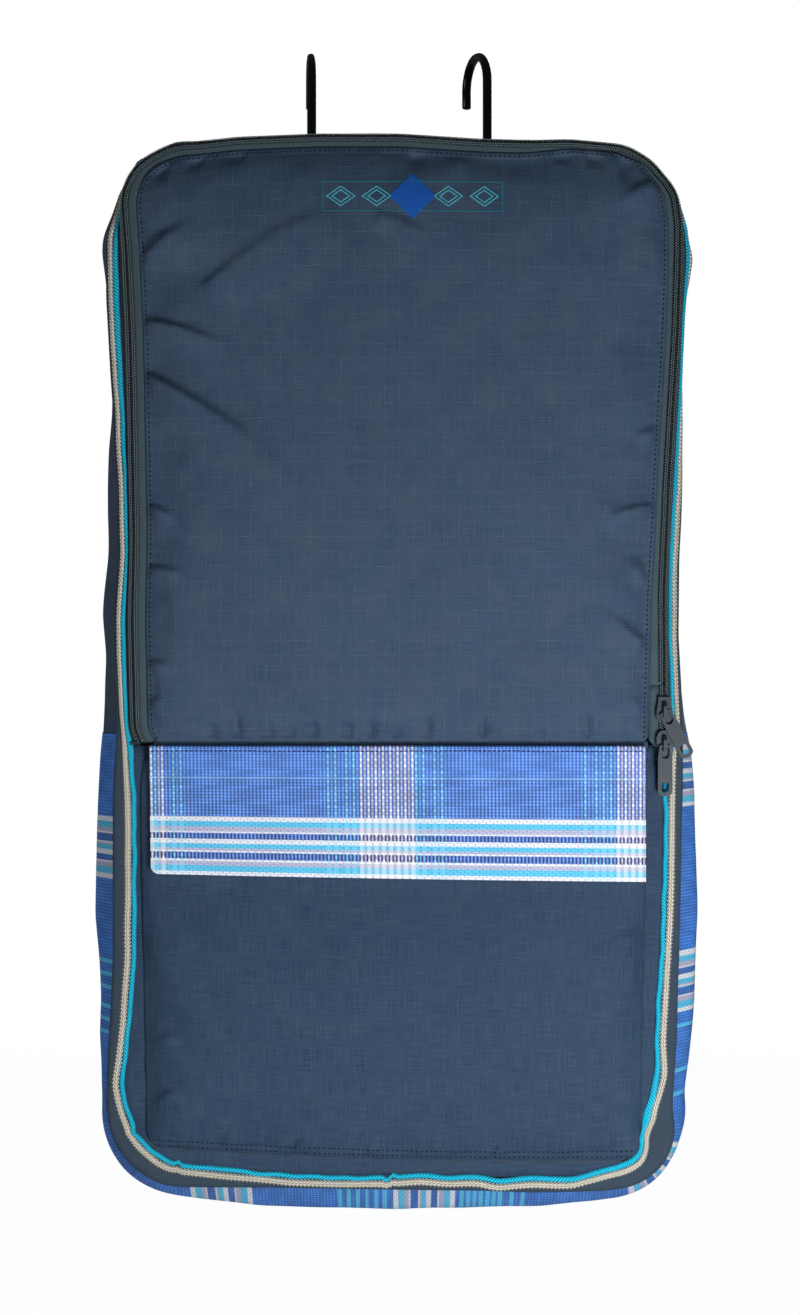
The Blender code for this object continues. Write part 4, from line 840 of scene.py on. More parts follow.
POCKET_LEFT, POCKET_RIGHT = pocket_low.x - 0.0030, pocket_high.x - 0.0040
POCKET_TOP, POCKET_LOW = pocket_high.z + 0.0060, pocket_low.z + 0.0015
POCKET_RADIUS = 0.012
CLOTH_THICKNESS = 0.0008


def pocket_sag(x, z):
    """The pocket hangs a little lower in the middle than at its lower corners, and is narrower there."""
    drop, share = smooth(POCKET_TOP, POCKET_LOW, z), (x - POCKET_LEFT) / (POCKET_RIGHT - POCKET_LEFT)
    down = drop * (0.0010 - 0.0075 * share - 0.0033 * np.sin(math.pi * share))
    return stacked(drop * (0.0036 * (1.0 - share) ** 3 - 0.0042 * share ** 3), 0.0, down)


def build_pocket():
    x, z = panel_grid(POCKET_LEFT, POCKET_RIGHT, POCKET_LOW, POCKET_TOP, 0.0, POCKET_RADIUS, 0.0040)
    rounded = edge_distance(x, z, POCKET_LEFT, POCKET_RIGHT, POCKET_LOW, POCKET_TOP + 0.1, POCKET_RADIUS,
                            POCKET_RADIUS)
    edge = np.minimum(np.minimum(x - POCKET_LEFT, POCKET_RIGHT - x), z - POCKET_LOW)
    edge = np.maximum(np.where(z < POCKET_LOW + POCKET_RADIUS, rounded, edge), 0.0)
    front = face(x, z, 0.0008 + 0.0016 * smooth(0.0, 0.003, edge)) + pocket_sag(x, z)
    cut = front * np.array([GROWN_X, 1.0, 1.0])
    cut[..., 2] = POCKET_TOP + (front[..., 2] - POCKET_TOP) * GROWN_Z
    cut[..., 1] += 0.0014 * value_noise(x, z, 30.0, 4.4)
    sewn = (edge < SEW + 0.0006) | (z > POCKET_TOP - 0.0020)
    moved = finer(puffed(front, stacked(x, z), sewn, cut, 0.0050))
    x, z, edge = finer(x), finer(z), finer(edge)
    side_gap, low_gap = np.minimum(x - POCKET_LEFT, POCKET_RIGHT - x), z - POCKET_LOW
    pad = filled(x, z, ((side_gap, 0.0085), (low_gap, 0.0120)), 0.0060, 12.3)
    uneven = (creases(x, z, POCKET_FOLDS) + ripple(x, z, 13.0, 40.0, 25.5)) * smooth(0.0015, 0.0060, edge)
    moved[..., 1] -= seam_edge(edge) + pad + uneven + puckers(np.where(side_gap < low_gap, z, x), edge, 63.0)
    below_flap = np.maximum(flap_low.z - 0.004 - z, 0.0)
    moved = settle(moved, np.minimum(0.0058 + 0.16 * below_flap, 0.0155), floor=0.0006)
    return solidify(grid_object("pocket_panel_cloth", moved, stacked(x, z)), CLOTH_THICKNESS)


pocket = build_pocket()
finish_piece(pocket, NAVY_BLUER_SHADED, "bag", ("pocket_panel",))


# ---- Sewing that lies on a panel ----

def draped(obj, x, z):
    """How far forward a panel's front lies at each (x, z)."""
    tree = BVHTree.FromPolygons([v.co for v in obj.data.vertices], [p.vertices for p in obj.data.polygons])
    hits = [tree.ray_cast(Vector((a, -1.0, b)), Vector((0.0, 1.0, 0.0)))[0] for a, b in zip(x, z)]
    return np.array([hit.y if hit else SHEET_Y for hit in hits])


def even(points, pitch):
    """The same path with its points pitch apart."""
    points = np.asarray(points, float)
    runs = np.concatenate([[0.0], np.cumsum(np.hypot(*np.diff(points, axis=0).T))])
    places = np.arange(0.0, runs[-1], pitch)
    return stacked(np.interp(places, runs, points[:, 0]), np.interp(places, runs, points[:, 1]))


def stitches(name, path, on, material, body, pitch=0.0030, length=0.0019, width=0.0010, proud=0.00036):
    """Separate raised stitches along a path on a panel: each is a small lens that dips in at both ends."""
    mids = even(path, pitch)
    ways = np.gradient(mids, axis=0)
    ways /= np.maximum(np.hypot(*ways.T), 1e-9)[:, None]
    ways = ways[:, None, None, :]
    t = np.linspace(-1.0, 1.0, 5)[:, None]
    ring = np.linspace(0.0, 2.0 * math.pi, 7)[:-1]
    swell = np.sqrt(np.maximum(1.0 - t ** 4, 0.06))
    ahead = mids[:, None, None, :] + ways * (t * length / 2)[..., None]
    depth = draped(on, *ahead.reshape(-1, 2).T).reshape(ahead.shape[:-1])
    side = np.cos(ring) * width / 2 * swell
    rise = np.sin(ring) * proud * swell - 0.00012 * t ** 4
    points = stacked(ahead[..., 0] - ways[..., 1] * side, depth - rise, ahead[..., 1] + ways[..., 0] * side)
    run = (np.arange(len(mids)) * pitch)[:, None, None] + t * length / 2
    stitched = tubes(name, points, stacked(ring * width / 2, run))
    return finish_piece(stitched, material, body)


def on_face(x, z):
    return face(x, z, 0.0)[..., ::2]


def door_path(inset):
    """Up the left side, over the top and down the right, the same distance inside the door's edge."""
    radius = DOOR_RADIUS - inset
    swing, lift = radius * np.cos(np.linspace(0.0, math.pi / 2, 14)), radius * np.sin(
        np.linspace(0.0, math.pi / 2, 14))
    corner_z = DOOR_TOP - DOOR_RADIUS
    rise = np.linspace(HINGE_Z + 0.004, corner_z, 90)
    across = np.linspace(DOOR_LEFT + DOOR_RADIUS, DOOR_RIGHT - DOOR_RADIUS, 60)
    x = np.concatenate([np.full(90, DOOR_LEFT + inset), across[0] - swing, across, across[-1] + lift,
                        np.full(90, DOOR_RIGHT - inset)])
    z = np.concatenate([rise, corner_z + lift, np.full(60, DOOR_TOP - inset), corner_z + swing, rise[::-1]])
    return on_face(x, z)


stitches("door_topstitch", door_path(SEW), door, STITCH, "door")

# ---- A plain stitched patch of ornament at the top of the door ----
PATCH_LEFT, PATCH_RIGHT, PATCH_LOW, PATCH_HIGH = -0.047, 0.063, -0.1100, -0.0915
PATCH_MIDDLE = (PATCH_LOW + PATCH_HIGH) / 2
LOZENGES = 5


def satin(name, corners, material):
    """A closed run of fine stitches laid side by side."""
    stitches(name, corners + corners[:1], door, material, "door", 0.0011, 0.00105, 0.0010, 0.00045)


def lozenge(name, x, wide, tall, material):
    z = PATCH_MIDDLE
    satin(name, [(x - wide, z), (x, z + tall), (x + wide, z), (x, z - tall)], material)


satin("patch_border", [(PATCH_LEFT, PATCH_LOW), (PATCH_RIGHT, PATCH_LOW), (PATCH_RIGHT, PATCH_HIGH),
                       (PATCH_LEFT, PATCH_HIGH)], TEAL)
for number in range(LOZENGES):
    lozenge_x = PATCH_LEFT + (PATCH_RIGHT - PATCH_LEFT) * (number + 0.5) / LOZENGES
    if number == LOZENGES // 2:
        for ring_number, reach in enumerate(np.linspace(0.0138, 0.0012, 13)):
            lozenge(f"patch_centre_{ring_number}", lozenge_x, reach, reach, BLUE_THREAD)
    else:
        for ring_number, share in enumerate((1.0, 0.62)):
            lozenge(f"patch_lozenge_{number}_{ring_number}", lozenge_x, 0.0086 * share, 0.0062 * share,
                    SILVER)

row_x = np.linspace(POCKET_LEFT + 0.006, POCKET_RIGHT - 0.006, 60)
for row in range(2):
    row_z = np.full(60, POCKET_LOW + SEW + 0.0035 * row)
    stitches(f"pocket_bottom_stitch_{row}", on_face(row_x, row_z) + pocket_sag(row_x, row_z)[:, ::2], pocket,
             STITCH, "bag")


def build_base():
    """The flat lower panel under the pocket, from the hinge seam to the bottom seam."""
    x, z = panel_grid(0.004 - HALF_WIDTH, HALF_WIDTH - 0.004, BOTTOM_Z + 0.004, HINGE_Z - 0.0006, 0.0,
                      CORNER_RADIUS - 0.004, 0.005)
    s, inset = nearest(x, z)
    _, _, nx, nz = outline(s)
    out = binding_out(s) * smooth(0.06, 0.0, inset)
    gathers = np.clip(0.5 + 0.5 * value_noise(s, inset * 0.35, 70.0, 44.0), 0.0, 1.0)
    lift = (0.0002 + 0.0004 * value_noise(x, z, 55.0, 20.2) ** 2
            + 0.0016 * gathers * smooth(0.034, 0.024, inset) * smooth(0.010, 0.016, inset))
    lift = lift - 0.0022 * ((x > CHAIN_X - 0.0075) & (z > ZIP_END_Z - 0.001))    # clear of the zip's end
    points = stacked(x + nx * out, SHEET_Y - lift, z + nz * out)
    return solidify(grid_object("base_panel_cloth", points, stacked(x, z)), CLOTH_THICKNESS)


base = build_base()
finish_piece(base, NAVY_BLUER_SHADED, "bag", ("front_base_panel",))

# ---------------------------------------------------------------------------
# Rim: binding, tapes and zip
# ---------------------------------------------------------------------------

WEB_FLARE_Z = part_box("front_binding_lower")[1].z
web_run = stations(0.0, LENGTH, 0.004)[:-1]
trim_run = stations(0.0, LENGTH, 0.0005)[:-1]


def wide(s):
    """0 beside the zip, 1 round the lower panel, where the whole binding shows."""
    return smooth(WEB_FLARE_Z + 0.026, WEB_FLARE_Z - 0.026, outline(s)[1])


def wobble(s, amount, wave, seed):
    """A hand-sewn unevenness along s, which closes on itself."""
    closing = smooth(LENGTH - 0.05, LENGTH, np.mod(s, LENGTH))
    return amount * mixed(noise_at(np.mod(s, LENGTH) / wave, seed, 0.0), noise_at(0.0, seed, 0.0), closing)


def trim_section(centre, half_width, height, pitch, ridge, slant, base=0.0, ragged=0.0):
    """A raised strip with diagonal strands: centre and half width may follow s."""
    def section(s):
        t = np.linspace(-1.0, 1.0, 9)
        c, w = centre(s), half_width(s) * (1.0 + ragged * np.sin(2 * math.pi * s / pitch))
        crown = np.maximum(1.0 - np.abs(t) ** 2.4, 0.0) ** 0.5
        strands = np.abs(np.sin(math.pi * (s / pitch + slant * t)))
        lift = base + (height - ridge) * crown + ridge * crown * strands
        floor = np.full((len(s), 2), base - 0.0003)
        return np.concatenate([c + w * t, c + w, c - w], axis=1), np.concatenate([lift, floor], axis=1)
    return section


# How far the braid and cord stray outwards from their even course, and where they kink.
stray = along(
    (left, -560, 0, -600, 1.2, -631, 3, -647, 5.2, -659, 2.6, -672, 0, -300, 0), (low_left, 0, -0.4),
    (bottom, -142, 0, -128, 1, -104, 2.4, -69, 5.8, -34, 6.2, -9, 5.6, 12, 4.2, 29, 6.2, 48, 5.6, 60, 8.8,
     82, 7.2, 106, 8.6, 117, 5.6, 132, 2.4),
    (low_right, 10, 1.2),
    (right, -700, -2.4, -690, -5.6, -680, -5, -668, -1.4, -655, 2.6, -641, 5, -622, 2.2, -580, 2.4,
     -520, 3.6, -470, 2.6, -440, 0, -260, 0),
    (top_right, 0, 0), (top, 0, 0))
cyan_spread = along(
    (right, -630, 0, -655, 0.8, -678, 2, -694, 2.2, -703, 0.4, -300, 0), (low_right, 0, 0), (bottom, 0, 0),
    (left, -300, 0))
KINKS = ((bottom(-0.1385), 0.0016, 0.0026), (left(-0.6790), -0.0012, 0.0030),
         (bottom(-0.0080), -0.0018, 0.0020), (bottom(-0.0040), 0.0012, 0.0018))


def kinks(s):
    return sum(amount * bell((s - place + LENGTH / 2) % LENGTH - LENGTH / 2, reach)
               for place, amount, reach in KINKS)


def cyan_centre(s):
    edge = wobble(s, 0.0013, 0.016, 3.0) * (0.3 + 0.7 * wide(s))
    return 0.0050 + 0.0052 * wide(s) + edge - stray(s) + kinks(s)


def tan_centre(s):
    return 0.0024 + 0.0040 * wide(s) + wobble(s, 0.0006, 0.030, 8.0) - stray(s) + 0.4 * kinks(s)


def web_section(s):
    share = np.array([-0.25, -0.25, -0.05, 0.35, 0.75, 1.0, 1.0, 0.3])
    lift = np.array([-0.0006, 0.0004, 0.0014, 0.0017, 0.0013, 0.0009, -0.0002, -0.0004])
    beyond = np.array([1.0, 1.0, 0.8, 0.3, 0.0, 0.0, 0.0, 0.3])
    inner = np.array([0.0, 0.0, 0.0, 0.3, 0.8, 1.0, 1.0, 0.5])
    return share * (0.0068 + 0.0050 * wide(s)) - beyond * flare(s) - inner * stray(s), lift


def binding(name, sections, replaced, surface=rim):
    """Webbing round a seam, with a tan braid and a cyan cord sewn on it."""
    finish_piece(strip(name + "_webbing", web_run, sections[0], surface), TWILL, "bag", replaced)
    finish_piece(strip(name + "_tan_braid", trim_run, sections[1], surface), TAN, "bag")
    finish_piece(strip(name + "_cyan_cord", trim_run, sections[2], surface), CYAN, "bag")


binding("front_binding", (
    web_section,
    trim_section(tan_centre, lambda s: 0.00135 + 0.00070 * wide(s), 0.0018, TAN_PITCH, 0.00095, 0.9, 0.0017,
                 0.22),
    trim_section(cyan_centre, lambda s: 0.00130 + 0.00025 * wide(s) + cyan_spread(s), 0.0017, CYAN_PITCH,
                 0.00070, 0.7, 0.0012, 0.12)),
    ("front_binding_lower", "front_binding_top", "front_binding_left", "front_binding_right"))

# ---- Zip tapes ----
zip_start, zip_end, door_zip_end = left(HINGE_Z + 0.0008), right(ZIP_END_Z), right(DOOR_SPLIT_Z)
FRAME_TAPE_IN, DOOR_TAPE_IN = CHAIN_INSET - 0.0008, CHAIN_INSET + 0.0008


def tape(name, start, end, first, width, body, node, material=TAPE):
    def section(s):
        narrowed = 1.0 - 0.45 * smooth(HINGE_Z + 0.0010, HINGE_Z - 0.0010, outline(s)[1]) * (s > LENGTH / 2)
        return (np.array([0.0, 0.3, 0.7, 1.0, 1.0, 0.0]) * width * narrowed + first,
                np.array([0.0003, 0.0004, 0.0004, 0.0003, -0.0006, -0.0006]))
    obj = strip(name, stations(start, end, 0.004), section, wrap=False)
    finish_piece(obj, material, body, (node,))


# The bag's half of the tape takes the painted-shade copy of the tape.
tape("bag_zip_tape", zip_start, zip_end, 0.0060, FRAME_TAPE_IN - 0.0060, "bag", "frame_zip_tape", TAPE_PAINTED_SHADE)
tape("door_zip_tape_cloth", zip_start, door_zip_end, DOOR_TAPE_IN, 0.0085, "door", "door_zip_tape")
tape("zip_tape_tail", door_zip_end, zip_end, DOOR_TAPE_IN, 0.0086, "bag", "door_zip_tape_end")

# ---- Zip chain: moulded teeth with two rows of sewing over each half ----
TOOTH_PITCH = 0.00165
TOOTH_WIDTH = 0.00095
TOOTH_ROWS = np.array([                         # across the chain (mm), breadth, height
    (-0.5, 0.62, 0.85), (0.0, 1.05, 1.0), (0.6, 1.05, 1.0), (1.3, 0.72, 0.8), (2.6, 0.72, 0.8),
    (3.4, 0.66, 0.7), (3.7, 0.30, 0.35)])


def tooth_places(start, end, phase):
    places = (np.arange(math.ceil(start / TOOTH_PITCH), math.floor(end / TOOTH_PITCH)) + phase) * TOOTH_PITCH
    return places[(places > start) & (places < end)][:, None, None]


def teeth(name, start, end, side, phase, body, node):
    """Rounded teeth across half of the chain; side is -1 for the bag's half and 1 for the door's."""
    across, breadth, height = TOOTH_ROWS.T[..., None]
    ahead = np.array([-1.0, -0.7, 0.0, 0.7, 1.0, 0.0])
    s = tooth_places(start, end, phase) + ahead * TOOTH_WIDTH / 2 * breadth
    lift = 0.0007 + np.array([0.0, 0.75, 1.0, 0.75, 0.0, -0.3]) * 0.0015 * height
    points = rim(s, CHAIN_INSET + side * across * MM + 0.0 * s, lift + 0.0 * s)
    obj = tubes(name, points, np.zeros(points.shape[:-1] + (2,)))
    finish_piece(obj, COIL, body, (node,))


def sewing(name, start, end, inset, body, phase):
    """A row of stitches over the teeth: one bead of thread to each tooth."""
    t = np.linspace(-1.0, 1.0, 4)[:, None]
    ring = np.arange(5) * 2 * math.pi / 5
    swell = np.sqrt(np.maximum(1.0 - 0.9 * t ** 2, 0.05))
    s = tooth_places(start, end, phase) + t * TOOTH_PITCH * 0.38 + 0.0 * ring
    across = inset + t * 0.00016 + 0.00048 * np.cos(ring) * swell + 0.0 * s
    points = rim(s, across, 0.00205 + 0.00042 * np.sin(ring) * swell + 0.0 * s)
    finish_piece(tubes(name, points, stacked(across, s)), BEAD, body)


chain_start = left(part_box("left_zip_stop")[1].z + 0.0003)
chain_end = right(right_stop_high.z + 0.0003)
teeth("bag_zip_teeth", chain_start, chain_end, -1, 0.0, "bag", "frame_zip_coil")
teeth("door_zip_teeth", chain_start, door_zip_end, 1, 0.5, "door", "door_zip_coil")
teeth("zip_teeth_tail", door_zip_end, chain_end, 1, 0.5, "bag", "door_zip_coil_end")
for row, offset in enumerate((0.0012, 0.0024)):
    for half, start, end, body, side in (("bag", chain_start, chain_end, "bag", -1),
                                         ("door", chain_start, door_zip_end, "door", 1),
                                         ("tail", door_zip_end, chain_end, "bag", 1)):
        sewing(f"{half}_zip_sewing_{row}", start, end, CHAIN_INSET + side * offset, body, 0.5 * row)

# ---------------------------------------------------------------------------
# Woven mesh: flap and lower gusset
# ---------------------------------------------------------------------------

CELL_U = 0.00226
CELL_V = 0.0020
BAND_ROW = 0.0015               # rows lie closer where the bands are woven


def woven(u, v, origin, warp_layout, weft_layout, base, cross, slot_shade):
    """Height and colour of an open weave: warp columns, weft rows between them, and dark slots, with painted
    shade in the slots and in the hollows of the weave.
    """
    across, down = (u - origin[0])[..., None], (v - origin[1])[..., None]
    column = np.abs(np.sin(math.pi * across / CELL_U))
    warp_index, weft_index = np.floor(across / CELL_U), np.floor(down / CELL_V)
    warp_colour, warp_share = stripes((warp_index[..., 0] + 0.5) * CELL_U + origin[0], warp_layout, base)
    weft_colour, weft_share = stripes(v, weft_layout, cross)
    pitch = np.where(weft_share > 0.5, BAND_ROW, CELL_V)
    row = np.abs(np.sin(math.pi * down / pitch))
    over = (warp_index + np.floor(down / pitch)) % 2 == 0
    between = smooth(0.98, 0.62, column)
    open_slot = between * smooth(0.97, 0.66, row) * (1.0 - weft_share) * (1.0 - 0.35 * warp_share)
    heather = np.sin(12.9898 * warp_index + 78.233 * weft_index + 2.1 * np.sin(3.7 * weft_index))
    dashed = np.where(over, 1.0, 1.0 - 0.30 * (0.3 + warp_share) * (1.0 - between))
    # Painted shade: the cords darken in the hollows between rows and where the warp dips under, and the open
    # slots take half the slot colour.
    plain_colour = mixed(warp_colour, weft_colour, between) * (0.74 + 0.26 * row) * dashed
    plain_colour = mixed(plain_colour * (1.06 + 0.16 * heather), 0.5 * slot_shade, open_slot)
    crossed = np.where(over, column ** 4, 0.0)
    # In the bands the warp shows darkened where it crosses over, and the colour darkens between the rows as
    # painted shade.
    band_colour = mixed(weft_colour, warp_colour * 0.30, crossed * 0.42 + (1.0 - row) * 0.45)
    colour = mixed(plain_colour, mixed(band_colour, warp_colour, 0.35 * warp_share), weft_share)
    height = mixed(np.maximum(column, 0.75 * row), 0.7 + 0.5 * row - 0.25 * crossed, weft_share)
    return (height + 0.25 * warp_share * row)[..., 0], colour


def cell_places(start, end, cell):
    """Four places in each cell of the weave, clear of the cell's edges, and both ends."""
    count = int(round((end - start) / cell)) * 4
    return np.concatenate([[start], start + (np.arange(count) + 0.5) * cell / 4, [start + count * cell / 4]])


def bands(start, pattern):
    """Stripes laid one after another from start: width (mm), colour, share."""
    layout = []
    for width, tone, share in pattern:
        layout.append((start, start + width * MM, tone, share))
        start += width * MM
    return layout


TRIPLE = ((3.1, WHITE, 1.0), (3.7, SKY, 1.0), (3.1, LAVENDER, 1.0), (1.0, WHITE, 1.0), (4.0, DEEP, 0.0),
          (2.8, WHITE, 1.0), (3.1, SKY, 1.0), (1.2, LAVENDER, 1.0), (1.0, WHITE, 1.0), (4.7, DEEP, 0.0),
          (1.3, WHITE, 1.0), (2.6, LAVENDER, 1.0), (4.0, SKY, 1.0), (2.6, WHITE, 1.0))

FLAP_LEFT, FLAP_RIGHT = flap_low.x - 0.0018, flap_high.x - 0.0018
FLAP_TOP, FLAP_BOTTOM = HINGE_Z - 0.0004, flap_low.z
HEM = 0.0033                    # from the flap's top edge to its stitches
ROW_Z = FLAP_TOP - 0.0214       # one lighter row, where the flap's inner layer ends
# Warp columns, counted from the flap's left edge.
FLAP_CORDS = (((0, 3), WHITE, 1.0), ((1, 6, 8), PALE_SKY, 1.0), ((2,), LAVENDER, 0.3),
              ((48, 50, 53, 55, 72, 74, 77, 79, 118, 121, 123, 125), PALE_SKY, 1.0),
              (range(57, 72, 2), WHITE, 1.0), (range(58, 71, 2), LAVENDER, 0.5),
              ((127, 129, 131, 133), WHITE, 1.0), ((128, 130, 132, 134), LAVENDER, 0.4))
FLAP_WARP = [(FLAP_LEFT + n * CELL_U, FLAP_LEFT + (n + 1) * CELL_U, tone, share)
             for numbers, tone, share in FLAP_CORDS for n in numbers]


def build_flap():
    v, u = np.meshgrid(cell_places(FLAP_BOTTOM, FLAP_TOP, CELL_V)[::-1],
                       cell_places(FLAP_LEFT, FLAP_RIGHT, CELL_U), indexing="ij")
    backed = smooth(FLAP_TOP - 0.0215, FLAP_TOP - 0.0195, v)[..., None]
    weft = bands(FLAP_BOTTOM, TRIPLE[::-1]) + [(ROW_Z, ROW_Z + 0.0012, LIGHT_ROW, 0.5)]
    height, colour = woven(u, v, (FLAP_LEFT, FLAP_BOTTOM), FLAP_WARP, weft, ROYAL, CROSS,
                           mixed(SLOT_SHADE, BACKED, backed))
    share = (u - FLAP_LEFT) / (FLAP_RIGHT - FLAP_LEFT)
    drop = (FLAP_TOP - v) / (FLAP_TOP - FLAP_BOTTOM)
    corner = smooth(0.0042, 0.0, (u - FLAP_LEFT) + (v - FLAP_BOTTOM))
    x = u + drop * 0.0012 * np.sin(math.pi * 0.5 * (1 - share)) + 0.0014 * corner
    z = v + drop * (0.0050 * (1.0 - share) - 0.0006 * np.sin(math.pi * share)) + 0.0010 * corner
    over = smooth(FLAP_TOP + 0.0004, FLAP_TOP - 0.0009, v)
    lift = mixed(0.0024, SHEET_Y - flap_high.y, over) - 0.0004 * bell(FLAP_TOP - v - HEM, 0.0006)
    lift = lift + 0.0006 * np.sin(math.pi * share * 3.0) * drop + 0.00045 * height
    lift = lift + 0.0005 * value_noise(x, z, 32.0, 61.0) * drop
    cloth = paint(grid_object("flap_mesh_cloth", stacked(x, SHEET_Y - lift, z), stacked(u, v)), colour)
    return solidify(cloth, 0.0005, 1.0)


flap = build_flap()
flap.data.materials.append(MESH_CLOTH)
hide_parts("pocket_flap", "flap_top_band")
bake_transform(flap)
hem_x = np.linspace(FLAP_LEFT + 0.002, FLAP_RIGHT - 0.002, 80)
stitches("flap_hem_stitch", stacked(hem_x, FLAP_TOP - HEM + 0.0002 * np.sin(40.0 * hem_x)), flap,
         FLAP_THREAD, "flap", 0.0030, 0.0026)

# ---------------------------------------------------------------------------
# Gussets, over the hanger board
# ---------------------------------------------------------------------------

BOARD_CORNER = 0.010
BOARD_ROWS = ((0.5, 1.0), (0.2, 1.0), (0.03, 1.0), (0.012, 0.94), (0.0, 0.75), (0.0, 0.25), (0.012, 0.06),
              (0.03, 0.0), (0.2, 0.0), (0.5, 0.0))     # share of the depth inside, share of the height


def droop(x):
    """How far the ends of the hanger board have bent down outside its hooks."""
    return 0.0032 * smooth(0.075, 0.140, x) + 0.0010 * smooth(0.080, 0.140, -x)


def build_board():
    turn = np.linspace(0.0, 2 * math.pi, 120, endpoint=False)
    inside, height = np.array(BOARD_ROWS).T[..., None]
    inset = inside * 2 * board_high.y * 0.99
    corner = np.maximum(BOARD_CORNER - inset, 0.0004)
    x, y = (np.clip(away * 1.6, -1.0, 1.0) * (half - inset - corner) + corner * away
            for away, half in ((np.cos(turn), board_high.x), (np.sin(turn), board_high.y)))
    z = board_low.z + (board_high.z - board_low.z) * height - droop(x)
    points = stacked(x, y, z)[None]
    board = tubes("hanger_board_bent", points, points[..., :2])
    finish_piece(board, BOARD, "bag", ("hanger_board",))


build_board()
GUSSET_DEPTH = REAR_Y - SHEET_Y


def gusset_points(s, v):
    """The gusset's outer face: v runs from the front seam (0) to the back seam (1)."""
    x, z, nx, nz = outline(s)
    start_out = binding_out(s) - 0.0012 - FOLD_INSET * (1.0 - np.cos(bend(s)))
    start_y = SHEET_Y + 0.0002 + roll(s) + FOLD_INSET * np.sin(bend(s))
    shape = 1.0 - np.abs(2.0 * v - 1.0) ** 2.8
    folds = 0.0011 * value_noise(s, v * 0.12, 26.0, 31.0) * shape
    out = start_out * (1.0 - v) + fullness(s) * np.maximum(shape, 0.0) * (0.35 + 0.65 * smooth(0.0, 0.30, v))
    y = mixed(start_y, REAR_Y, v)
    over = (smooth(board_high.x + 0.016, board_high.x, np.abs(x)) * smooth(0.5, 0.9, nz)
            * smooth(board_high.y + 0.012, board_high.y, np.abs(y)))        # 1 over the board
    out = out + folds - 0.8 * folds * over
    board_out = board_high.z + 0.0008 - droop(x) - TOP_Z
    out = out + over * smooth(0.0, 0.03, v) * np.maximum(board_out - out, 0.0)
    return stacked(x + nx * out, y, z + nz * out)


def build_upper_gusset():
    s, v = np.meshgrid(stations(left(GUSSET_SEAM_Z), right(GUSSET_SEAM_Z), 0.003), np.linspace(0.0, 1.0, 49),
                       indexing="ij")
    return solidify(grid_object("upper_gusset_cloth", gusset_points(s, v), stacked(v * 0.118, s)), 0.0005)


gusset = build_upper_gusset()
right(GUSSET_SEAM_Z) - left(GUSSET_SEAM_Z)
finish_piece(gusset, NAVY, "bag", ("upper_gusset",))

# Where the mesh of the lower gusset has its three-band pattern and its single rows (s from -end to end).
BAND_STARTS = (left(-0.5210), -left(-0.4380), -left(-0.5660), bottom(-0.0920), bottom(0.1800), bottom(0.0345))
SINGLE_ROWS = ([left(z * MM) for z in (-574, -582, -590, -602, -610, -618)]
               + [bottom(x * MM) for x in (-36.0, -30.4, -24.8, -19.2, -13.6, -8.0)]
               + [bottom(x * MM) for x in (40, 44, 48, 52, 56, 60, 64, 71, 78)]
               + [-left(z * MM) for z in (-612, -640, -655)])
GUSSET_WARP = [(0.0600, 0.0618, SKY, 0.7), (0.0780, 0.0804, WHITE, 0.6), (0.0824, 0.0848, LAVENDER, 0.4),
               (0.0960, 0.0978, SKY, 0.7)]


def build_lower_gusset():
    end = left(GUSSET_SEAM_Z)
    s, v = np.meshgrid(cell_places(-end, end, CELL_V), cell_places(0.0, GUSSET_DEPTH, CELL_U)[::2],
                       indexing="ij")
    v = np.clip(v / GUSSET_DEPTH, 0.0, 1.0)
    _, _, nx, nz = outline(s)
    weft = [band for start in BAND_STARTS for band in bands(start, TRIPLE)]
    weft += [(start, start + 0.0024, SKY, 0.8) for start in SINGLE_ROWS]
    height, colour = woven(v * GUSSET_DEPTH, s, (0.0, -end), GUSSET_WARP, weft, GUSSET_BLUE, GUSSET_CROSS,
                           SLOT_SHADE * 0.8)
    # Painted shade: the mesh is up to a fifth darker where it faces downwards.
    colour = colour * (1.0 - 0.20 * smooth(-0.4, -0.9, nz))[..., None]
    points = gusset_points(s, v) + stacked(nx, 0.0, nz) * (0.00035 * height)[..., None]
    cloth = paint(grid_object("lower_gusset_cloth", points, stacked(v * GUSSET_DEPTH, s)), colour)
    return solidify(cloth, 0.0006)


low_gusset = build_lower_gusset()
2 * left(GUSSET_SEAM_Z)
finish_piece(low_gusset, MESH_CLOTH, "bag", ("lower_gusset",))

# ---------------------------------------------------------------------------
# Back
# ---------------------------------------------------------------------------

def build_back():
    x, z = panel_grid(0.0006 - HALF_WIDTH, HALF_WIDTH - 0.0006, BOTTOM_Z + 0.0006, TOP_Z - 0.0006,
                      CORNER_RADIUS, CORNER_RADIUS, 0.006)
    edge = edge_distance(x, z, -HALF_WIDTH, HALF_WIDTH, BOTTOM_Z, TOP_Z, CORNER_RADIUS, CORNER_RADIUS)
    puff = (back_high.y - REAR_Y - 0.0012) * smooth(0.011, 0.026, edge)
    wrinkle = 0.0007 * value_noise(x, z, 30.0, 55.0) * smooth(0.010, 0.03, edge) * smooth(0.06, 0.02, edge)
    outer = stacked(x, REAR_Y + 0.0012 + puff + wrinkle, z)
    inner = stacked(x * 0.985, REAR_Y - 0.0004, (z - TOP_Z) * 0.993 + TOP_Z - 0.0022)
    return closed_panel("back_panel", outer, inner, stacked(x, z))


back_panel = build_back()
finish_piece(back_panel, NAVY, "bag", ("back_shell", "back_padding", "back_lining"))


def back_rim(s, inset, lift):
    x, z, nx, nz = outline(s)
    return stacked(x - nx * inset, REAR_Y + lift, z - nz * inset)


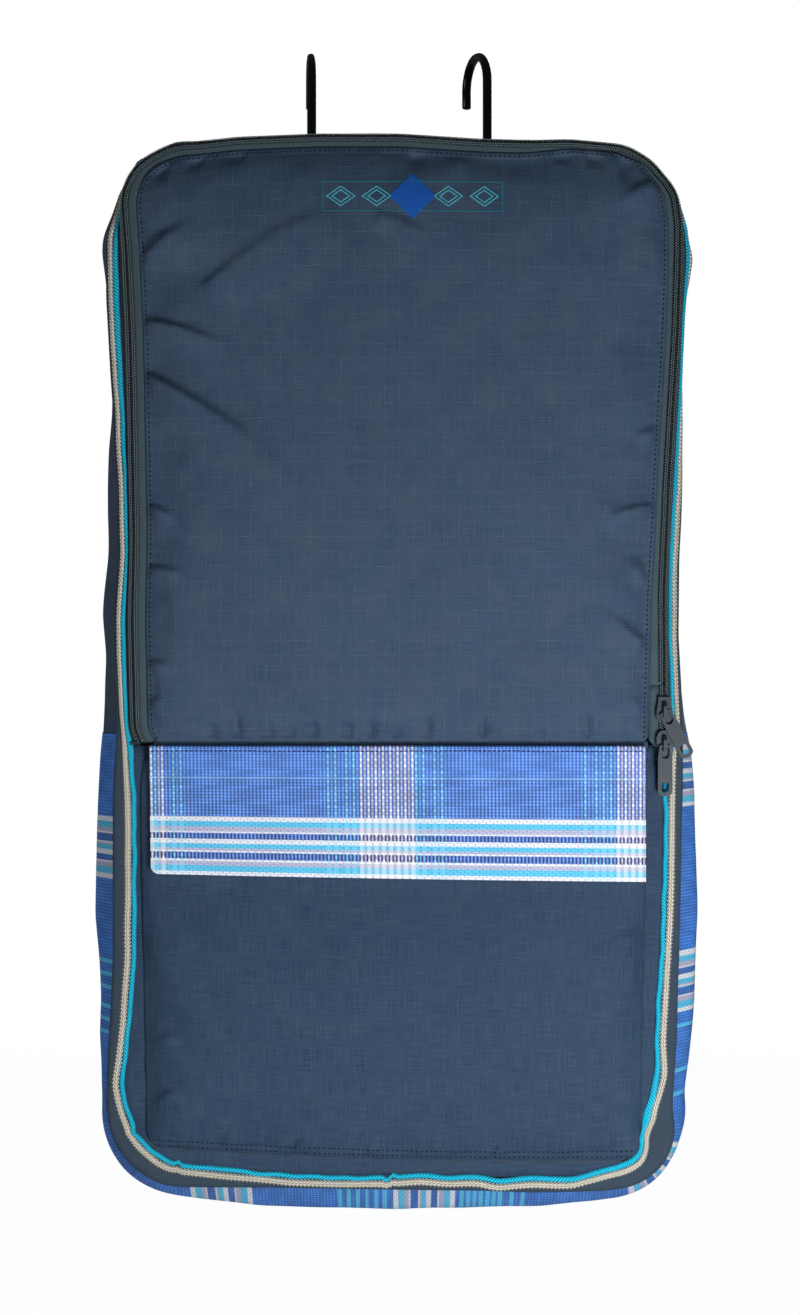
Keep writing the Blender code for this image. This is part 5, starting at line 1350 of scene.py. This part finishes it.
def back_web_section(s):
    share = np.array([-0.14, -0.14, 0.0, 0.35, 0.75, 1.0, 1.0, 0.05])
    lift = np.array([-0.0010, 0.0012, 0.0024, 0.0030, 0.0028, 0.0020, 0.0012, 0.0012])
    return share * 0.0100 + 0.0 * s, lift


binding("back_binding", (
    back_web_section,
    trim_section(lambda s: 0.0052 + wobble(s, 0.0005, 0.030, 18.0), lambda s: 0.00175, 0.0015, TAN_PITCH,
                 0.00055, 0.9, 0.0026),
    trim_section(lambda s: 0.0084 + wobble(s, 0.0010, 0.024, 13.0), lambda s: 0.0015, 0.0015, CYAN_PITCH,
                 0.00035, 0.7, 0.0024)),
    ("back_binding",), back_rim)


# ---- Hinge of the door: a fold of cloth between the base panel and the door ----

def build_hinge():
    t, x = np.meshgrid(np.linspace(0.0, 1.0, 17), np.linspace(DOOR_LEFT + 0.0005, DOOR_RIGHT - 0.0005, 160),
                       indexing="ij")
    z = HINGE_Z - 0.0022 + 0.0046 * t
    lift = 0.0003 + (0.0016 + 0.0005 * value_noise(x, t * 0.02, 120.0, 77.0)) * np.sin(math.pi * t)
    return solidify(grid_object("door_hinge_cloth", face(x, z, lift), stacked(x, z)), 0.0005)


hinge_cloth = build_hinge()
hinge_cloth.data.materials.append(NAVY)
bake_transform(hinge_cloth)

# ---------------------------------------------------------------------------
# Room, light and camera
# ---------------------------------------------------------------------------

CAMERA_DISTANCE = 1.80
CAMERA_HEIGHT = -0.3836
SCALE = 0.000617                # metres a pixel on the front of the bag
FRAME_HEIGHT = 1315
AIM = (0.0, 0.0, -0.42)


def placed(name, data, location):
    obj = bpy.data.objects.new(name, data)
    obj.location = location
    bpy.context.scene.collection.objects.link(obj)
    return obj


def make_camera():
    camera = bpy.data.cameras.new("camera")
    camera.sensor_width = 36.0
    camera.lens = camera.sensor_width * (CAMERA_DISTANCE + SHEET_Y) / (FRAME_HEIGHT * SCALE)
    obj = placed("camera", camera, (0.0003, -CAMERA_DISTANCE, CAMERA_HEIGHT))
    obj.rotation_euler = (math.pi / 2, 0.0, 0.0)
    bpy.context.scene.camera = obj


def area_light(name, location, target, size, power):
    light = bpy.data.lights.new(name, 'AREA')
    light.shape = 'RECTANGLE'
    light.size, light.size_y = size
    light.energy = power
    obj = placed(name, light, location)
    obj.rotation_euler = (Vector(target) - Vector(location)).to_track_quat('-Z', 'Y').to_euler()
    obj.visible_camera = False


def make_room():
    """A dim, even room that looks white to the camera, and a pale floor."""
    world = bpy.data.worlds.new("studio")
    sky = NodeTree(world)
    sky.tree.nodes.clear()
    paths = sky.node("LightPath").outputs
    seen = sky.math('MAXIMUM', paths["Is Camera Ray"], paths["Is Transmission Ray"])
    room = sky.node("Background", Color=(0.93, 0.96, 1.0, 1.0), Strength=0.12)
    white = sky.node("Background", Color=(1.0, 1.0, 1.0, 1.0), Strength=1.0)
    mix = sky.node("MixShader", None, ((0, seen), (1, room.outputs[0]), (2, white.outputs[0])))
    sky.node("OutputWorld", None, ((0, mix.outputs[0]),))
    bpy.context.scene.world = world
    x, y = np.meshgrid((-6.0, 6.0), (-6.0, 6.0))
    floor = grid_object("floor", stacked(x, y, CAD_BOX[0].z - 0.75), np.zeros((4, 2)))
    sh = Shader("pale_floor", roughness=0.9, Emission_Color=(1.0, 1.0, 1.0, 1.0))
    glow = Value(sh, sh.node("LightPath").outputs["Is Camera Ray"]) * 0.88
    sh.set(sh.bsdf, Emission_Strength=glow)
    floor.data.materials.append(sh.done((0.82, 0.82, 0.82, 1.0)))


make_camera()
make_room()
area_light("key", (0.34, -0.88, -0.74), AIM, (0.24, 0.24), 11.2)
area_light("fill", (-1.65, -0.75, -0.30), AIM, (0.7, 0.7), 7.2)
area_light("back", (0.3, 1.6, 0.6), (0.0, 0.0, -0.3), (1.4, 1.0), 18.0)
bpy.context.scene.view_settings.view_transform = 'Standard'
